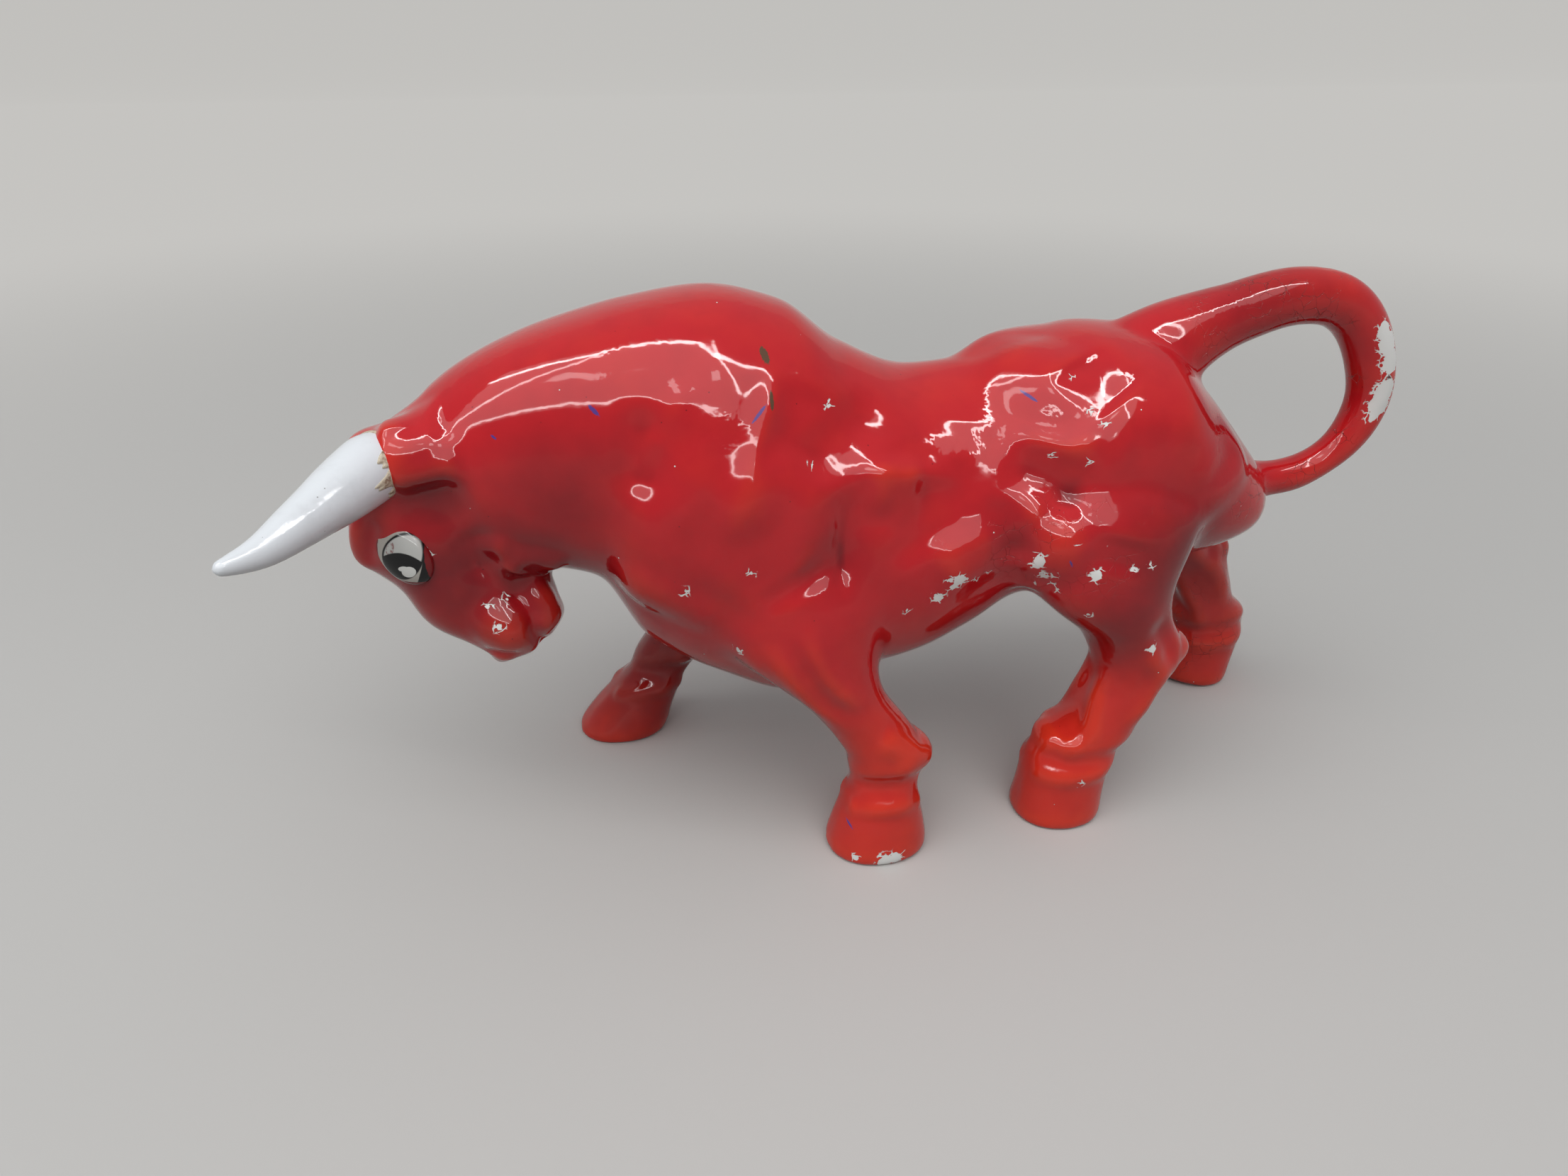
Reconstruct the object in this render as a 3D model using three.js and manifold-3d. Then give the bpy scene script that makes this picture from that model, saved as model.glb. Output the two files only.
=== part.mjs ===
// A glazed ceramic bull in the charging stance, about 378 mm from horn tip to tail.
// The hollow torso carries a separately cast head, four legs, a looped tail, ears and a sheath, all luted on,
// and the horns are glued into the head. Millimetres, +Z up, the head towards -X, the bull's left side at -Y.
import * as THREE from "three";
import Module from "manifold-3d";
import { mergeVertices } from "three/addons/utils/BufferGeometryUtils.js";

// Joints, walls and vents
const JOINT_GAP = 0.3; // slip joint between two luted or glued pieces
const TORSO_WALL = 5; // cast wall of the torso
const HEAD_WALL = 5; // cast wall of the head
const LEG_WALL = 5; // cast wall round the hollow upper part of a leg
const BELLY_VENT = 10; // diameter of the firing vent under the belly
const BELLY_VENT_X = 14;
const LIMB_VENT = 6; // diameter of the vents from the torso into the legs
const NECK_BORE = 14; // diameter of the opening from the neck into the head

// Torso, from the neck's end inside the head to the buttocks
const NECK_HALF_WIDTH = 31;
const NECK_TO_POLL = 1; // the neck's end lies this far behind the middle of the poll
const THROAT_HEIGHT = 92;
const HUMP_X = -46;
const HUMP_HEIGHT = 177.5;
const SHOULDER_HALF_WIDTH = 45;
const BRISKET_X = -24;
const BRISKET_HEIGHT = 44;
const BACK_X = 18;
const BACK_HEIGHT = 150.5;
const BARREL_HALF_WIDTH = 42;
const BELLY_HEIGHT = 55;
const FLANK_X = 48;
const FLANK_HEIGHT = 72;
const FLANK_HALF_WIDTH = 39;
const RUMP_X = 74;
const RUMP_HEIGHT = 161;
const HIP_HALF_WIDTH = 42;
const BUTTOCK_X = 142.5;
const BUTTOCK_HEIGHT = 99;

// Head: the middle of the poll, the length from there to the nose, and how the head is held
const POLL_X = -138;
const POLL_Y = 3;
const POLL_HEIGHT = 132;
const HEAD_LENGTH = 72;
const FOREHEAD_HALF_WIDTH = 24;
const FOREHEAD_RISE = 30; // from the head's axis out to the forehead
const JAW_DEPTH = 27; // from the head's axis back to the jaw
const MUZZLE_HALF_WIDTH = 15.5;
const HEAD_DROP = 60; // degrees that the face points below level
const HEAD_TURN = 7; // degrees of turn towards the left side
const HEAD_TILT = 20; // degrees of tilt, the right horn lower
const NECK_END_X = POLL_X + NECK_TO_POLL;

// Horns and the cement round them
const HORN_BASE_RADIUS = 9.6;
const HORN_TIP_RADIUS = 0.8;
const HORN_REACH = 39.4; // how far the tip stands out of the forehead from the root
const HORN_SPLAY = 31; // how far the tip stands outside the root
const HORN_ROOT_SIDE = 22; // from the middle of the head to the root
const HORN_ROOT_OUT = 11; // from the head's axis to the root
const TENON_RADIUS = 5.5;
const TENON_LENGTH = 9;
const CEMENT_WIDTH = 0.9; // how far the cement squeezes out round the horn
const CEMENT_LENGTH = 3.6;

// Ears
const EAR_LENGTH = 32;
const EAR_HALF_WIDTH = 6.4;
const EAR_FLATNESS = 0.62; // thickness over width
const EAR_PROUD = 3; // the ear's line stands this far outside the head

// Eyes
const EYE_LENGTH = 20;
const EYE_WIDTH = 15;
const EYE_THICKNESS = 7;
const EYE_PROUD = 1.3; // how far the eye bulges from the head
const EYE_ALONG = 25; // from the poll towards the nose
const EYE_OUT = 20.5; // from the head's axis towards the forehead
const EYE_TILT = 30; // degrees that the eye looks out of the forehead's side

// Legs: where each hoof stands, the track from hoof to hoof, and the heights of the joints
const FRONT_TRACK = 83;
const REAR_TRACK = 72;
const LEFT_FRONT_HOOF_X = 0.5;
const RIGHT_FRONT_HOOF_X = -80;
const LEFT_REAR_HOOF_X = 66.8;
const RIGHT_REAR_HOOF_X = 156.5;
const SHOULDER_X = -24;
const RIGHT_SHOULDER_X = -32;
const SHOULDER_TOP_HEIGHT = 112;
const LEFT_HOCK_X = 89.8;
const RIGHT_HOCK_X = 146.4;
const THIGH_X = 73;
const RIGHT_THIGH_X = 106;
const THIGH_TOP_HEIGHT = 122;
const LEG_ROOT_Y = 29; // from the middle plane to the top of each leg
const FRONT_CORONET_HEIGHT = 19;
const FRONT_FETLOCK_HEIGHT = 34;
const REAR_CORONET_HEIGHT = 21;
const REAR_FETLOCK_HEIGHT = 30;
const HOCK_HEIGHT = 57;
const FRONT_HOOF_LENGTH = 34;
const FRONT_HOOF_WIDTH = 29.5;
const REAR_HOOF_LENGTH = 31;
const REAR_HOOF_WIDTH = 29.5;
const FRONT_SHANK_WIDTH = 22;
const REAR_SHANK_WIDTH = 23;
const SOLE_EDGE = 1.2; // rounding round the sole

// Tail: a round coil that springs from the rump and comes back to the buttocks
const TAIL_CENTRE_X = 148.8;
const TAIL_CENTRE_HEIGHT = 134;
const TAIL_COIL_HEIGHT = 33; // from the coil's centre up to the tail's line
const TAIL_COIL_REACH = 31.4; // from the coil's centre back to the tail's line
const TAIL_ROOT_RADIUS = 13.8;
const TAIL_RADIUS = 9.2;
const TAIL_THIN_RADIUS = 5.8;

// Sheath under the belly
const SHEATH_X = 53;
const SHEATH_LENGTH = 22;
const SHEATH_RADIUS = 6.5;
const SHEATH_DROP = 4; // the sheath's line hangs this far below the belly

// Facets
const TORSO_SIDES = 44;
const TORSO_RINGS = 46;
const CAVITY_SIDES = 16;
const CAVITY_RINGS = 12;
const HEAD_SIDES = 24;
const HEAD_RINGS = 18;
const LEG_SIDES = 18;
const LEG_RINGS = 18;
const TAIL_SIDES = 12;
const TAIL_RINGS = 34;
const HORN_SIDES = 16;
const HORN_RINGS = 10;
const EAR_SIDES = 12;
const EYE_SIDES = 16;
const BORE_SIDES = 12;

const wasm = await Module();
wasm.setup();

const LEFT = -1;
const RIGHT = 1;

// Value of one field at a place along hand-chosen stations, on a smooth curve that never overshoots them.
function along(stations, key, at, field) {
  const last = stations.length - 1;
  const next = stations.findIndex((station) => station[key] > at);
  const index = next < 0 ? last - 1 : Math.max(0, next - 1);
  const rise = (k, name) => stations[k + 1][name] - stations[k][name];
  const slope = (k) => rise(k, field) / rise(k, key);
  const tangent = (k) => {
    if (k === 0) return slope(0);
    if (k === last) return slope(last - 1);
    const before = slope(k - 1);
    const after = slope(k);
    return before * after <= 0 ? 0 : (2 * before * after) / (before + after);
  };
  const from = stations[index];
  const to = stations[index + 1];
  const span = to[key] - from[key];
  const t = THREE.MathUtils.clamp((at - from[key]) / span, 0, 1);
  return (
    (2 * t ** 3 - 3 * t ** 2 + 1) * from[field] +
    (t ** 3 - 2 * t ** 2 + t) * tangent(index) * span +
    (3 * t ** 2 - 2 * t ** 3) * to[field] +
    (t ** 3 - t ** 2) * tangent(index + 1) * span
  );
}

// A closed skin over rings of equal count, with a fan over each end, its faces turned outwards.
function skin(rings) {
  const sides = rings[0].length;
  const middle = (ring) => ring.reduce((sum, p) => sum.add(p), new THREE.Vector3()).divideScalar(sides);
  const points = [...rings.flat(), middle(rings[0]), middle(rings.at(-1))];
  const faces = [];
  const end = (rings.length - 1) * sides;
  for (let i = 0; i < sides; i++) {
    const j = (i + 1) % sides;
    for (let k = 0; k < end; k += sides) {
      faces.push([k + i, k + j, k + sides + j], [k + i, k + sides + j, k + sides + i]);
    }
    faces.push([points.length - 2, j, i], [points.length - 1, end + i, end + j]);
  }
  const share = ([a, b, c]) => points[a].dot(points[b].clone().cross(points[c]));
  const volume = faces.reduce((sum, face) => sum + share(face), 0);
  const outward = volume > 0 ? faces : faces.map(([a, b, c]) => [a, c, b]);
  const geometry = new THREE.BufferGeometry().setFromPoints(points);
  geometry.setIndex(outward.flat());
  geometry.computeVertexNormals();
  return geometry;
}

// A copy of a skin whose points are moved along their normals by an amount that may differ between points.
function pushed(geometry, amount) {
  const copy = geometry.clone();
  const place = copy.attributes.position;
  for (let i = 0; i < place.count; i++) {
    const point = new THREE.Vector3().fromBufferAttribute(place, i);
    const normal = new THREE.Vector3().fromBufferAttribute(geometry.attributes.normal, i);
    point.addScaledVector(normal, amount(point));
    place.setXYZ(i, point.x, point.y, point.z);
  }
  copy.computeVertexNormals();
  return copy;
}

function solid(geometry) {
  const bare = new THREE.BufferGeometry().setAttribute("position", geometry.getAttribute("position"));
  if (geometry.index) bare.setIndex(geometry.index);
  const merged = mergeVertices(bare, 1e-4);
  const triVerts = new Uint32Array(merged.index.array);
  const vertProperties = new Float32Array(merged.attributes.position.array);
  return new wasm.Manifold(new wasm.Mesh({ numProp: 3, vertProperties, triVerts }));
}

// The solid of a skin grown by the joint gap, which cuts the neighbours that are luted to it.
const cutter = (geometry) => solid(pushed(geometry, () => JOINT_GAP));

// The largest body of a cut, without the crumbs that a feathered edge leaves.
function mainBody(made) {
  return made.decompose().reduce((best, body) => (body.volume() > best.volume() ? body : best));
}

function geometryOf(made) {
  const mesh = made.getMesh();
  const geometry = new THREE.BufferGeometry();
  geometry.setAttribute("position", new THREE.BufferAttribute(new Float32Array(mesh.vertProperties), 3));
  geometry.setIndex([...mesh.triVerts]);
  geometry.computeVertexNormals();
  return geometry;
}

// A rounded section as points round it: across and height from its widest level, with its own heights above
// and below. A power of 2 is an ellipse, and a larger one is boxier.
function section(sides, { half, above, below, upper = 2, lower = 2 }) {
  return Array.from({ length: sides }, (_, i) => {
    const angle = (2 * Math.PI * i) / sides;
    const c = Math.cos(angle);
    const s = Math.sin(angle);
    const power = 2 / (s > 0 ? upper : lower);
    const across = half * Math.sign(c) * Math.abs(c) ** power;
    return [across, (s > 0 ? above : below) * Math.sign(s) * Math.abs(s) ** power];
  });
}

// Rings from one place to another, closer together near both ends.
function rings(from, to, count, ring) {
  return Array.from({ length: count }, (_, i) => {
    const share = i / (count - 1);
    const eased = 0.55 * share + 0.45 * (0.5 - 0.5 * Math.cos(Math.PI * share));
    return ring(from + (to - from) * eased);
  });
}

// A round bar along a curve, its radius given along it, and flattened by a share at right angles to "across".
function bar(curve, radius, sides, count, across = new THREE.Vector3(0, 1, 0), flat = 1) {
  return skin(
    Array.from({ length: count }, (_, i) => {
      const t = i / (count - 1);
      const centre = curve.getPointAt(t);
      const forward = curve.getTangentAt(t);
      const lift = new THREE.Vector3().crossVectors(forward, across).normalize();
      const side = new THREE.Vector3().crossVectors(lift, forward);
      return Array.from({ length: sides }, (_, k) => {
        const angle = (2 * Math.PI * k) / sides;
        return centre
          .clone()
          .addScaledVector(side, Math.cos(angle) * radius(t))
          .addScaledVector(lift, Math.sin(angle) * radius(t) * flat);
      });
    }),
  );
}

// A straight round rod between two points, for bores, tenons and sockets.
function rod(from, to, radius) {
  const askew = new THREE.Vector3(0.3, 0.2, 1);
  return solid(bar(new THREE.LineCurve3(from, to), () => radius, BORE_SIDES, 2, askew));
}

// The torso's sections from neck to buttocks: place, top and bottom heights, half width, the share of the
// height at which it is widest, and the boxiness of its upper half.
const TORSO = [
  [NECK_END_X, 142, 116, 12, 0.5, 2],
  [NECK_END_X + 6, 149, 107, 20, 0.5, 2],
  [NECK_END_X + 19, 158.5, THROAT_HEIGHT + 7, NECK_HALF_WIDTH - 5, 0.5, 2.1],
  [HUMP_X - 54, HUMP_HEIGHT - 11, THROAT_HEIGHT + 4, NECK_HALF_WIDTH, 0.48, 2.3],
  [HUMP_X - 38, HUMP_HEIGHT - 6.3, THROAT_HEIGHT, NECK_HALF_WIDTH + 4, 0.45, 2.4],
  [HUMP_X - 24, HUMP_HEIGHT - 3, THROAT_HEIGHT - 23, SHOULDER_HALF_WIDTH - 6, 0.45, 2.4],
  [HUMP_X, HUMP_HEIGHT, BRISKET_HEIGHT + 9, SHOULDER_HALF_WIDTH - 1, 0.45, 2.3],
  [BRISKET_X, HUMP_HEIGHT - 5, BRISKET_HEIGHT, SHOULDER_HALF_WIDTH, 0.45, 2.2],
  [BRISKET_X + 18, BACK_HEIGHT + 9, BELLY_HEIGHT - 5, SHOULDER_HALF_WIDTH - 1, 0.45, 2.1],
  [BACK_X, BACK_HEIGHT, BELLY_HEIGHT + 1, BARREL_HALF_WIDTH, 0.46, 1.95],
  [BACK_X + 16, BACK_HEIGHT + 1.3, BELLY_HEIGHT + 8, BARREL_HALF_WIDTH - 2.5, 0.48, 1.85],
  [FLANK_X, RUMP_HEIGHT - 5.8, FLANK_HEIGHT, FLANK_HALF_WIDTH, 0.5, 1.9],
  [RUMP_X, RUMP_HEIGHT, FLANK_HEIGHT + 6, HIP_HALF_WIDTH, 0.55, 2.1],
  [RUMP_X + 18, RUMP_HEIGHT - 2, FLANK_HEIGHT + 8, HIP_HALF_WIDTH - 1, 0.5, 2.1],
  [BUTTOCK_X - 31, BUTTOCK_HEIGHT + 44, BUTTOCK_HEIGHT - 16, HIP_HALF_WIDTH - 7, 0.45, 2],
  [BUTTOCK_X - 14, BUTTOCK_HEIGHT + 25, BUTTOCK_HEIGHT - 11, 27, 0.42, 2],
  [BUTTOCK_X - 4, BUTTOCK_HEIGHT + 13, BUTTOCK_HEIGHT - 6, 17, 0.42, 2],
  [BUTTOCK_X, BUTTOCK_HEIGHT + 4, BUTTOCK_HEIGHT - 1, 5, 0.42, 2],
].map(([x, top, bottom, half, widest, upper]) => ({ x, top, bottom, half, widest, upper }));
const torsoAt = (x, field) => along(TORSO, "x", x, field);

// One upright section of the torso, drawn in by an inset.
function torsoRing(x, sides, inset = 0) {
  const top = torsoAt(x, "top") - inset;
  const bottom = torsoAt(x, "bottom") + inset;
  const level = bottom + (top - bottom) * torsoAt(x, "widest");
  const half = torsoAt(x, "half") - inset;
  const upper = torsoAt(x, "upper");
  const points = section(sides, { half, above: top - level, below: level - bottom, upper, lower: 2.1 });
  return points.map(([y, z]) => new THREE.Vector3(x, y, level + z));
}

// Relief of the muscles: strokes on the left side, mirrored to the right, that raise the skin along a path or
// sink it where the height is negative, fading out over the width.
const RELIEF = [
  {
    name: "hollow before the shoulder",
    width: 11,
    height: -2.4,
    path: [[-66, -32, 155], [-68, -35, 147], [-70, -36, 138], [-74, -36, 128]],
  },
  {
    name: "front of the shoulder blade",
    width: 7,
    height: 1.4,
    path: [[-54, -29, 160], [-58, -33, 154], [-63, -35, 147], [-67, -37, 138]],
  },
  {
    name: "face of the shoulder blade",
    width: 13,
    height: 0.8,
    path: [[-46, -32, 158], [-49, -37, 148]],
  },
  {
    name: "lower end of the shoulder blade",
    width: 16,
    height: 2.6,
    path: [[-52, -41, 132], [-45, -43, 130]],
  },
  {
    name: "rear edge of the shoulder blade",
    width: 7,
    height: 1.4,
    path: [[-36, -29, 164], [-32, -33, 159], [-34, -37, 151], [-39, -41, 141], [-43, -43, 130]],
  },
  {
    name: "dip behind the blade",
    width: 15,
    height: -1.7,
    path: [[-20, -28, 156], [-24, -36, 147], [-30, -40, 138]],
  },
  {
    name: "diagonal hollow",
    width: 11,
    height: -2.4,
    path: [[4, -22, 145], [-13, -32, 141], [-22, -38, 135], [-30, -42, 130]],
  },
  {
    name: "upper arm",
    width: 20,
    height: 2.2,
    path: [[-32, -44, 122], [-38, -44, 112]],
  },
  {
    name: "point of the shoulder",
    width: 17,
    height: 3,
    path: [[-65, -39, 119], [-66, -39, 106]],
  },
  {
    name: "hollow before the ribs",
    width: 12,
    height: -3.4,
    path: [[-13, -38, 130], [-13, -42, 115], [-14, -44, 102]],
  },
  {
    name: "crease under the arm",
    width: 7,
    height: -1.8,
    path: [[-41, -45, 96], [-27, -46, 102], [-17, -45, 109]],
  },
  {
    name: "edge of the chest",
    width: 10,
    height: 1.8,
    path: [[-80, -32, 108], [-72, -36, 102], [-60, -40, 94], [-48, -43, 88]],
  },
  {
    name: "face of the middle rib",
    width: 13,
    height: 2,
    path: [[-8, -39, 127], [2, -40, 127], [13, -37, 125]],
  },
  {
    name: "edge of the middle rib",
    width: 6,
    height: 1.8,
    path: [[-12, -38, 131], [-2, -38, 132], [12, -37, 130], [27, -35, 126]],
  },
  {
    name: "hollow of the ribs",
    width: 9,
    height: -1.9,
    path: [[35, -34, 128], [17, -37, 124], [-2, -41, 118], [-12, -42, 111]],
  },
  {
    name: "third hollow",
    width: 9,
    height: -1.8,
    path: [[34, -37, 118], [18, -39, 115], [6, -41, 110], [-4, -43, 102]],
  },
  {
    name: "belly muscle",
    width: 14,
    height: 2.4,
    path: [[38, -38, 109], [27, -40, 104], [14, -42, 97]],
  },
  {
    name: "fold of the hip",
    width: 6,
    height: 1.3,
    path: [[13, -22, 148], [25, -26, 144], [38, -30, 139]],
  },
  {
    name: "dome of the hip",
    width: 18,
    height: 3.6,
    path: [[47, -12, 155], [52, -19, 151]],
  },
  {
    name: "dip behind the hip",
    width: 14,
    height: -2,
    path: [[62, -20, 156], [67, -27, 151], [72, -32, 146]],
  },
  {
    name: "rim of the hip",
    width: 8,
    height: 2,
    path: [[38, -31, 139], [47, -34, 136], [56, -37, 135], [66, -38, 140]],
  },
  {
    name: "hollow under the hip",
    width: 11,
    height: -3.4,
    path: [[34, -33, 133], [45, -36, 128], [56, -39, 123], [70, -44, 115]],
  },
  {
    name: "flank fold",
    width: 9,
    height: -1.8,
    path: [[37, -34, 121], [38, -38, 110], [39, -37, 100]],
  },
  {
    name: "front of the thigh",
    width: 10,
    height: 2.4,
    path: [[44, -39, 106], [45, -38, 97], [49, -34, 88]],
  },
  {
    name: "knob of the thigh",
    width: 15,
    height: 4.2,
    path: [[45, -39, 111], [50, -44, 107]],
  },
  {
    name: "hollow of the rump",
    width: 15,
    height: -1.6,
    path: [[66, -40, 131], [82, -41, 129], [100, -38, 120]],
  },
  {
    name: "back edge of the thigh",
    width: 9,
    height: 1.3,
    path: [[109, -25, 137], [117, -28, 124], [102, -38, 113], [91, -46, 107]],
  },
];

function distanceToPath(point, path) {
  let nearest = Infinity;
  for (let i = 1; i < path.length; i++) {
    const line = new THREE.Line3(new THREE.Vector3(...path[i - 1]), new THREE.Vector3(...path[i]));
    nearest = Math.min(nearest, line.closestPointToPoint(point, true, new THREE.Vector3()).distanceTo(point));
  }
  return nearest;
}

function reliefAt(point) {
  const onLeft = new THREE.Vector3(point.x, -Math.abs(point.y), point.z);
  return RELIEF.reduce((lift, stroke) => {
    const reach = Math.min(1, distanceToPath(onLeft, stroke.path) / stroke.width);
    return lift + stroke.height * (1 - reach ** 2) ** 2;
  }, 0);
}

const torsoRings = rings(NECK_END_X, BUTTOCK_X, TORSO_RINGS, (x) => torsoRing(x, TORSO_SIDES));
const torsoSkin = pushed(skin(torsoRings), reliefAt);
const torsoCutter = cutter(torsoSkin);

// The cast hollow of the torso, with its vents to the belly, the head and the legs.
function torsoHollow() {
  const from = NECK_END_X + TORSO_WALL;
  const to = BUTTOCK_X - TORSO_WALL - 1;
  return solid(skin(rings(from, to, CAVITY_RINGS, (x) => torsoRing(x, CAVITY_SIDES, TORSO_WALL))));
}

function bellyVent() {
  const bottom = torsoAt(BELLY_VENT_X, "bottom");
  const at = (z) => new THREE.Vector3(BELLY_VENT_X, 0, z);
  return rod(at(bottom - TORSO_WALL), at(bottom + 3 * TORSO_WALL), BELLY_VENT / 2);
}

function neckBore() {
  const level = (torsoAt(NECK_END_X, "top") + torsoAt(NECK_END_X, "bottom")) / 2;
  const at = (x) => new THREE.Vector3(x, 0, level);
  return rod(at(NECK_END_X - 2 * TORSO_WALL), at(NECK_END_X + 3 * TORSO_WALL), NECK_BORE / 2);
}

// Legs. A shape gives the fore-and-aft length and the half width at each height, and a line gives where the
// leg's middle stands. Between two named joints, heights and places are shares of the way, and lengths and
// half widths are shares of the shank's width.
const { lerp } = THREE.MathUtils;
const frontHoof = (share) => lerp(0, FRONT_CORONET_HEIGHT, share);
const frontPastern = (share) => lerp(FRONT_CORONET_HEIGHT, FRONT_FETLOCK_HEIGHT, share);
const frontUpper = (share) => lerp(FRONT_FETLOCK_HEIGHT, SHOULDER_TOP_HEIGHT, share);
const rearHoof = (share) => lerp(0, REAR_CORONET_HEIGHT, share);
const rearShank = (share) => lerp(REAR_FETLOCK_HEIGHT, HOCK_HEIGHT, share);
const rearThigh = (share) => lerp(HOCK_HEIGHT, THIGH_TOP_HEIGHT, share);

const shapeRow = ([z, length, half]) => ({ z, length, half });
const shanked = (width) => ([z, length, half]) => shapeRow([z, width * length, width * half]);
const FRONT_SHAPE = [
  ...[
    [0, FRONT_HOOF_LENGTH - 2 * SOLE_EDGE, FRONT_HOOF_WIDTH / 2 - SOLE_EDGE],
    [SOLE_EDGE, FRONT_HOOF_LENGTH, FRONT_HOOF_WIDTH / 2],
    [frontHoof(0.474), 0.912 * FRONT_HOOF_LENGTH, 0.466 * FRONT_HOOF_WIDTH],
  ].map(shapeRow),
  ...[
    [FRONT_CORONET_HEIGHT, 1.159, 0.545],
    [frontPastern(0.4), 1.023, 0.477],
    [FRONT_FETLOCK_HEIGHT, 1.205, 0.523],
    [frontUpper(0.128), 1.182, 0.5],
    [frontUpper(0.269), 1.227, 0.545],
    [frontUpper(0.41), 1.591, 0.636],
    [frontUpper(0.564), 2.136, 0.727],
    [frontUpper(0.769), 2.455, 0.773],
    [SHOULDER_TOP_HEIGHT, 1.818, 0.545],
  ].map(shanked(FRONT_SHANK_WIDTH)),
];
const REAR_SHAPE = [
  ...[
    [0, REAR_HOOF_LENGTH - 2 * SOLE_EDGE, REAR_HOOF_WIDTH / 2 - SOLE_EDGE],
    [SOLE_EDGE, REAR_HOOF_LENGTH, REAR_HOOF_WIDTH / 2],
    [rearHoof(0.476), 0.968 * REAR_HOOF_LENGTH, 0.466 * REAR_HOOF_WIDTH],
  ].map(shapeRow),
  ...[
    [REAR_CORONET_HEIGHT, 1.304, 0.565],
    [REAR_FETLOCK_HEIGHT, 1.391, 0.543],
    [rearShank(0.333), 1.065, 0.5],
    [rearShank(0.741), 1.065, 0.5],
    [HOCK_HEIGHT, 1.304, 0.543],
    [rearThigh(0.123), 1.435, 0.609],
    [rearThigh(0.215), 1.435, 0.674],
    [rearThigh(0.338), 1.739, 0.761],
    [rearThigh(0.508), 2.174, 0.848],
    [rearThigh(0.754), 2.652, 0.848],
    [THIGH_TOP_HEIGHT, 2.043, 0.587],
  ].map(shanked(REAR_SHANK_WIDTH)),
];

// Heights up a leg with the place of its middle, as shares of the way from one named place to the next.
const lineBetween = (from, to, rows) => rows.map(([z, share]) => ({ z, x: lerp(from, to, share) }));

const LEGS = {
  leg_front_left: {
    side: LEFT,
    track: FRONT_TRACK,
    shape: FRONT_SHAPE,
    line: lineBetween(LEFT_FRONT_HOOF_X, SHOULDER_X, [
      [0, 0],
      [FRONT_CORONET_HEIGHT, -0.053],
      [FRONT_FETLOCK_HEIGHT, -0.122],
      [frontUpper(0.128), 0.082],
      [frontUpper(0.269), 0.408],
      [frontUpper(0.41), 0.735],
      [frontUpper(0.564), 0.98],
      [SHOULDER_TOP_HEIGHT, 1],
    ]),
  },
  leg_front_right: {
    side: RIGHT,
    track: FRONT_TRACK,
    shape: FRONT_SHAPE,
    line: lineBetween(RIGHT_FRONT_HOOF_X, RIGHT_SHOULDER_X, [
      [0, 0],
      [frontHoof(0.474), 0.094],
      [FRONT_CORONET_HEIGHT, 0.229],
      [FRONT_FETLOCK_HEIGHT, 0.438],
      [frontUpper(0.128), 0.563],
      [frontUpper(0.41), 0.813],
      [SHOULDER_TOP_HEIGHT, 1],
    ]),
  },
  leg_rear_left: {
    side: LEFT,
    track: REAR_TRACK,
    shape: REAR_SHAPE,
    line: [
      ...lineBetween(LEFT_REAR_HOOF_X, LEFT_HOCK_X, [
        [0, 0],
        [REAR_CORONET_HEIGHT, 0.109],
        [REAR_FETLOCK_HEIGHT, 0.304],
        [rearShank(0.333), 0.63],
        [rearShank(0.741), 0.848],
        [HOCK_HEIGHT, 1],
      ]),
      ...lineBetween(LEFT_HOCK_X, THIGH_X, [
        [rearThigh(0.123), 0.107],
        [rearThigh(0.215), 0.345],
        [rearThigh(0.338), 0.732],
        [rearThigh(0.508), 1],
        [THIGH_TOP_HEIGHT, 1],
      ]),
    ],
  },
  leg_rear_right: {
    side: RIGHT,
    track: REAR_TRACK,
    shape: REAR_SHAPE,
    line: [
      ...lineBetween(RIGHT_REAR_HOOF_X, RIGHT_HOCK_X, [
        [0, 0],
        [REAR_CORONET_HEIGHT, -0.347],
        [REAR_FETLOCK_HEIGHT, -0.297],
        [rearShank(0.333), 0.099],
        [rearShank(0.741), 0.495],
      ]),
      ...lineBetween(RIGHT_HOCK_X, RIGHT_THIGH_X, [
        [rearThigh(0.123), 0.146],
        [rearThigh(0.508), 0.703],
        [THIGH_TOP_HEIGHT, 1],
      ]),
    ],
  },
};

// The leg leans in from the hoof's track to its root beside the middle plane.
function legSide({ side, track, shape }, z) {
  const rise = z / shape.at(-1).z;
  return side * lerp(track / 2, LEG_ROOT_Y, rise ** 2);
}

function legRing(leg, z, inset = 0) {
  const half = along(leg.shape, "z", z, "half") - inset;
  const reach = along(leg.shape, "z", z, "length") / 2 - inset;
  const x = along(leg.line, "z", z, "x");
  const y = legSide(leg, z);
  const points = section(LEG_SIDES, { half: reach, above: half, below: half, upper: 2.2, lower: 2.2 });
  return points.map(([forward, across]) => new THREE.Vector3(x + forward, y + across, z));
}

function legSkin(leg) {
  return skin(rings(0, leg.shape.at(-1).z, LEG_RINGS, (z) => legRing(leg, z)));
}

// The hollow of the upper leg, open towards the torso, down to where the shank is too slender for it.
function legHollow(leg) {
  const top = leg.shape.at(-1).z;
  return solid(skin(rings(top * 0.55, top + JOINT_GAP, 6, (z) => legRing(leg, z, LEG_WALL))));
}

function leg(name) {
  const whole = solid(legSkin(LEGS[name]));
  return mainBody(whole.subtract(torsoCutter).subtract(legHollow(LEGS[name])));
}

// A vent through the torso's wall into the hollow of a leg.
function limbVent(name) {
  const { line, shape } = LEGS[name];
  const z = shape.at(-1).z * 0.8;
  const x = along(line, "z", z, "x");
  const at = (y) => new THREE.Vector3(x, y, z);
  return rod(at(0), at(legSide(LEGS[name], z) * 1.6), LIMB_VENT / 2);
}

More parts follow.
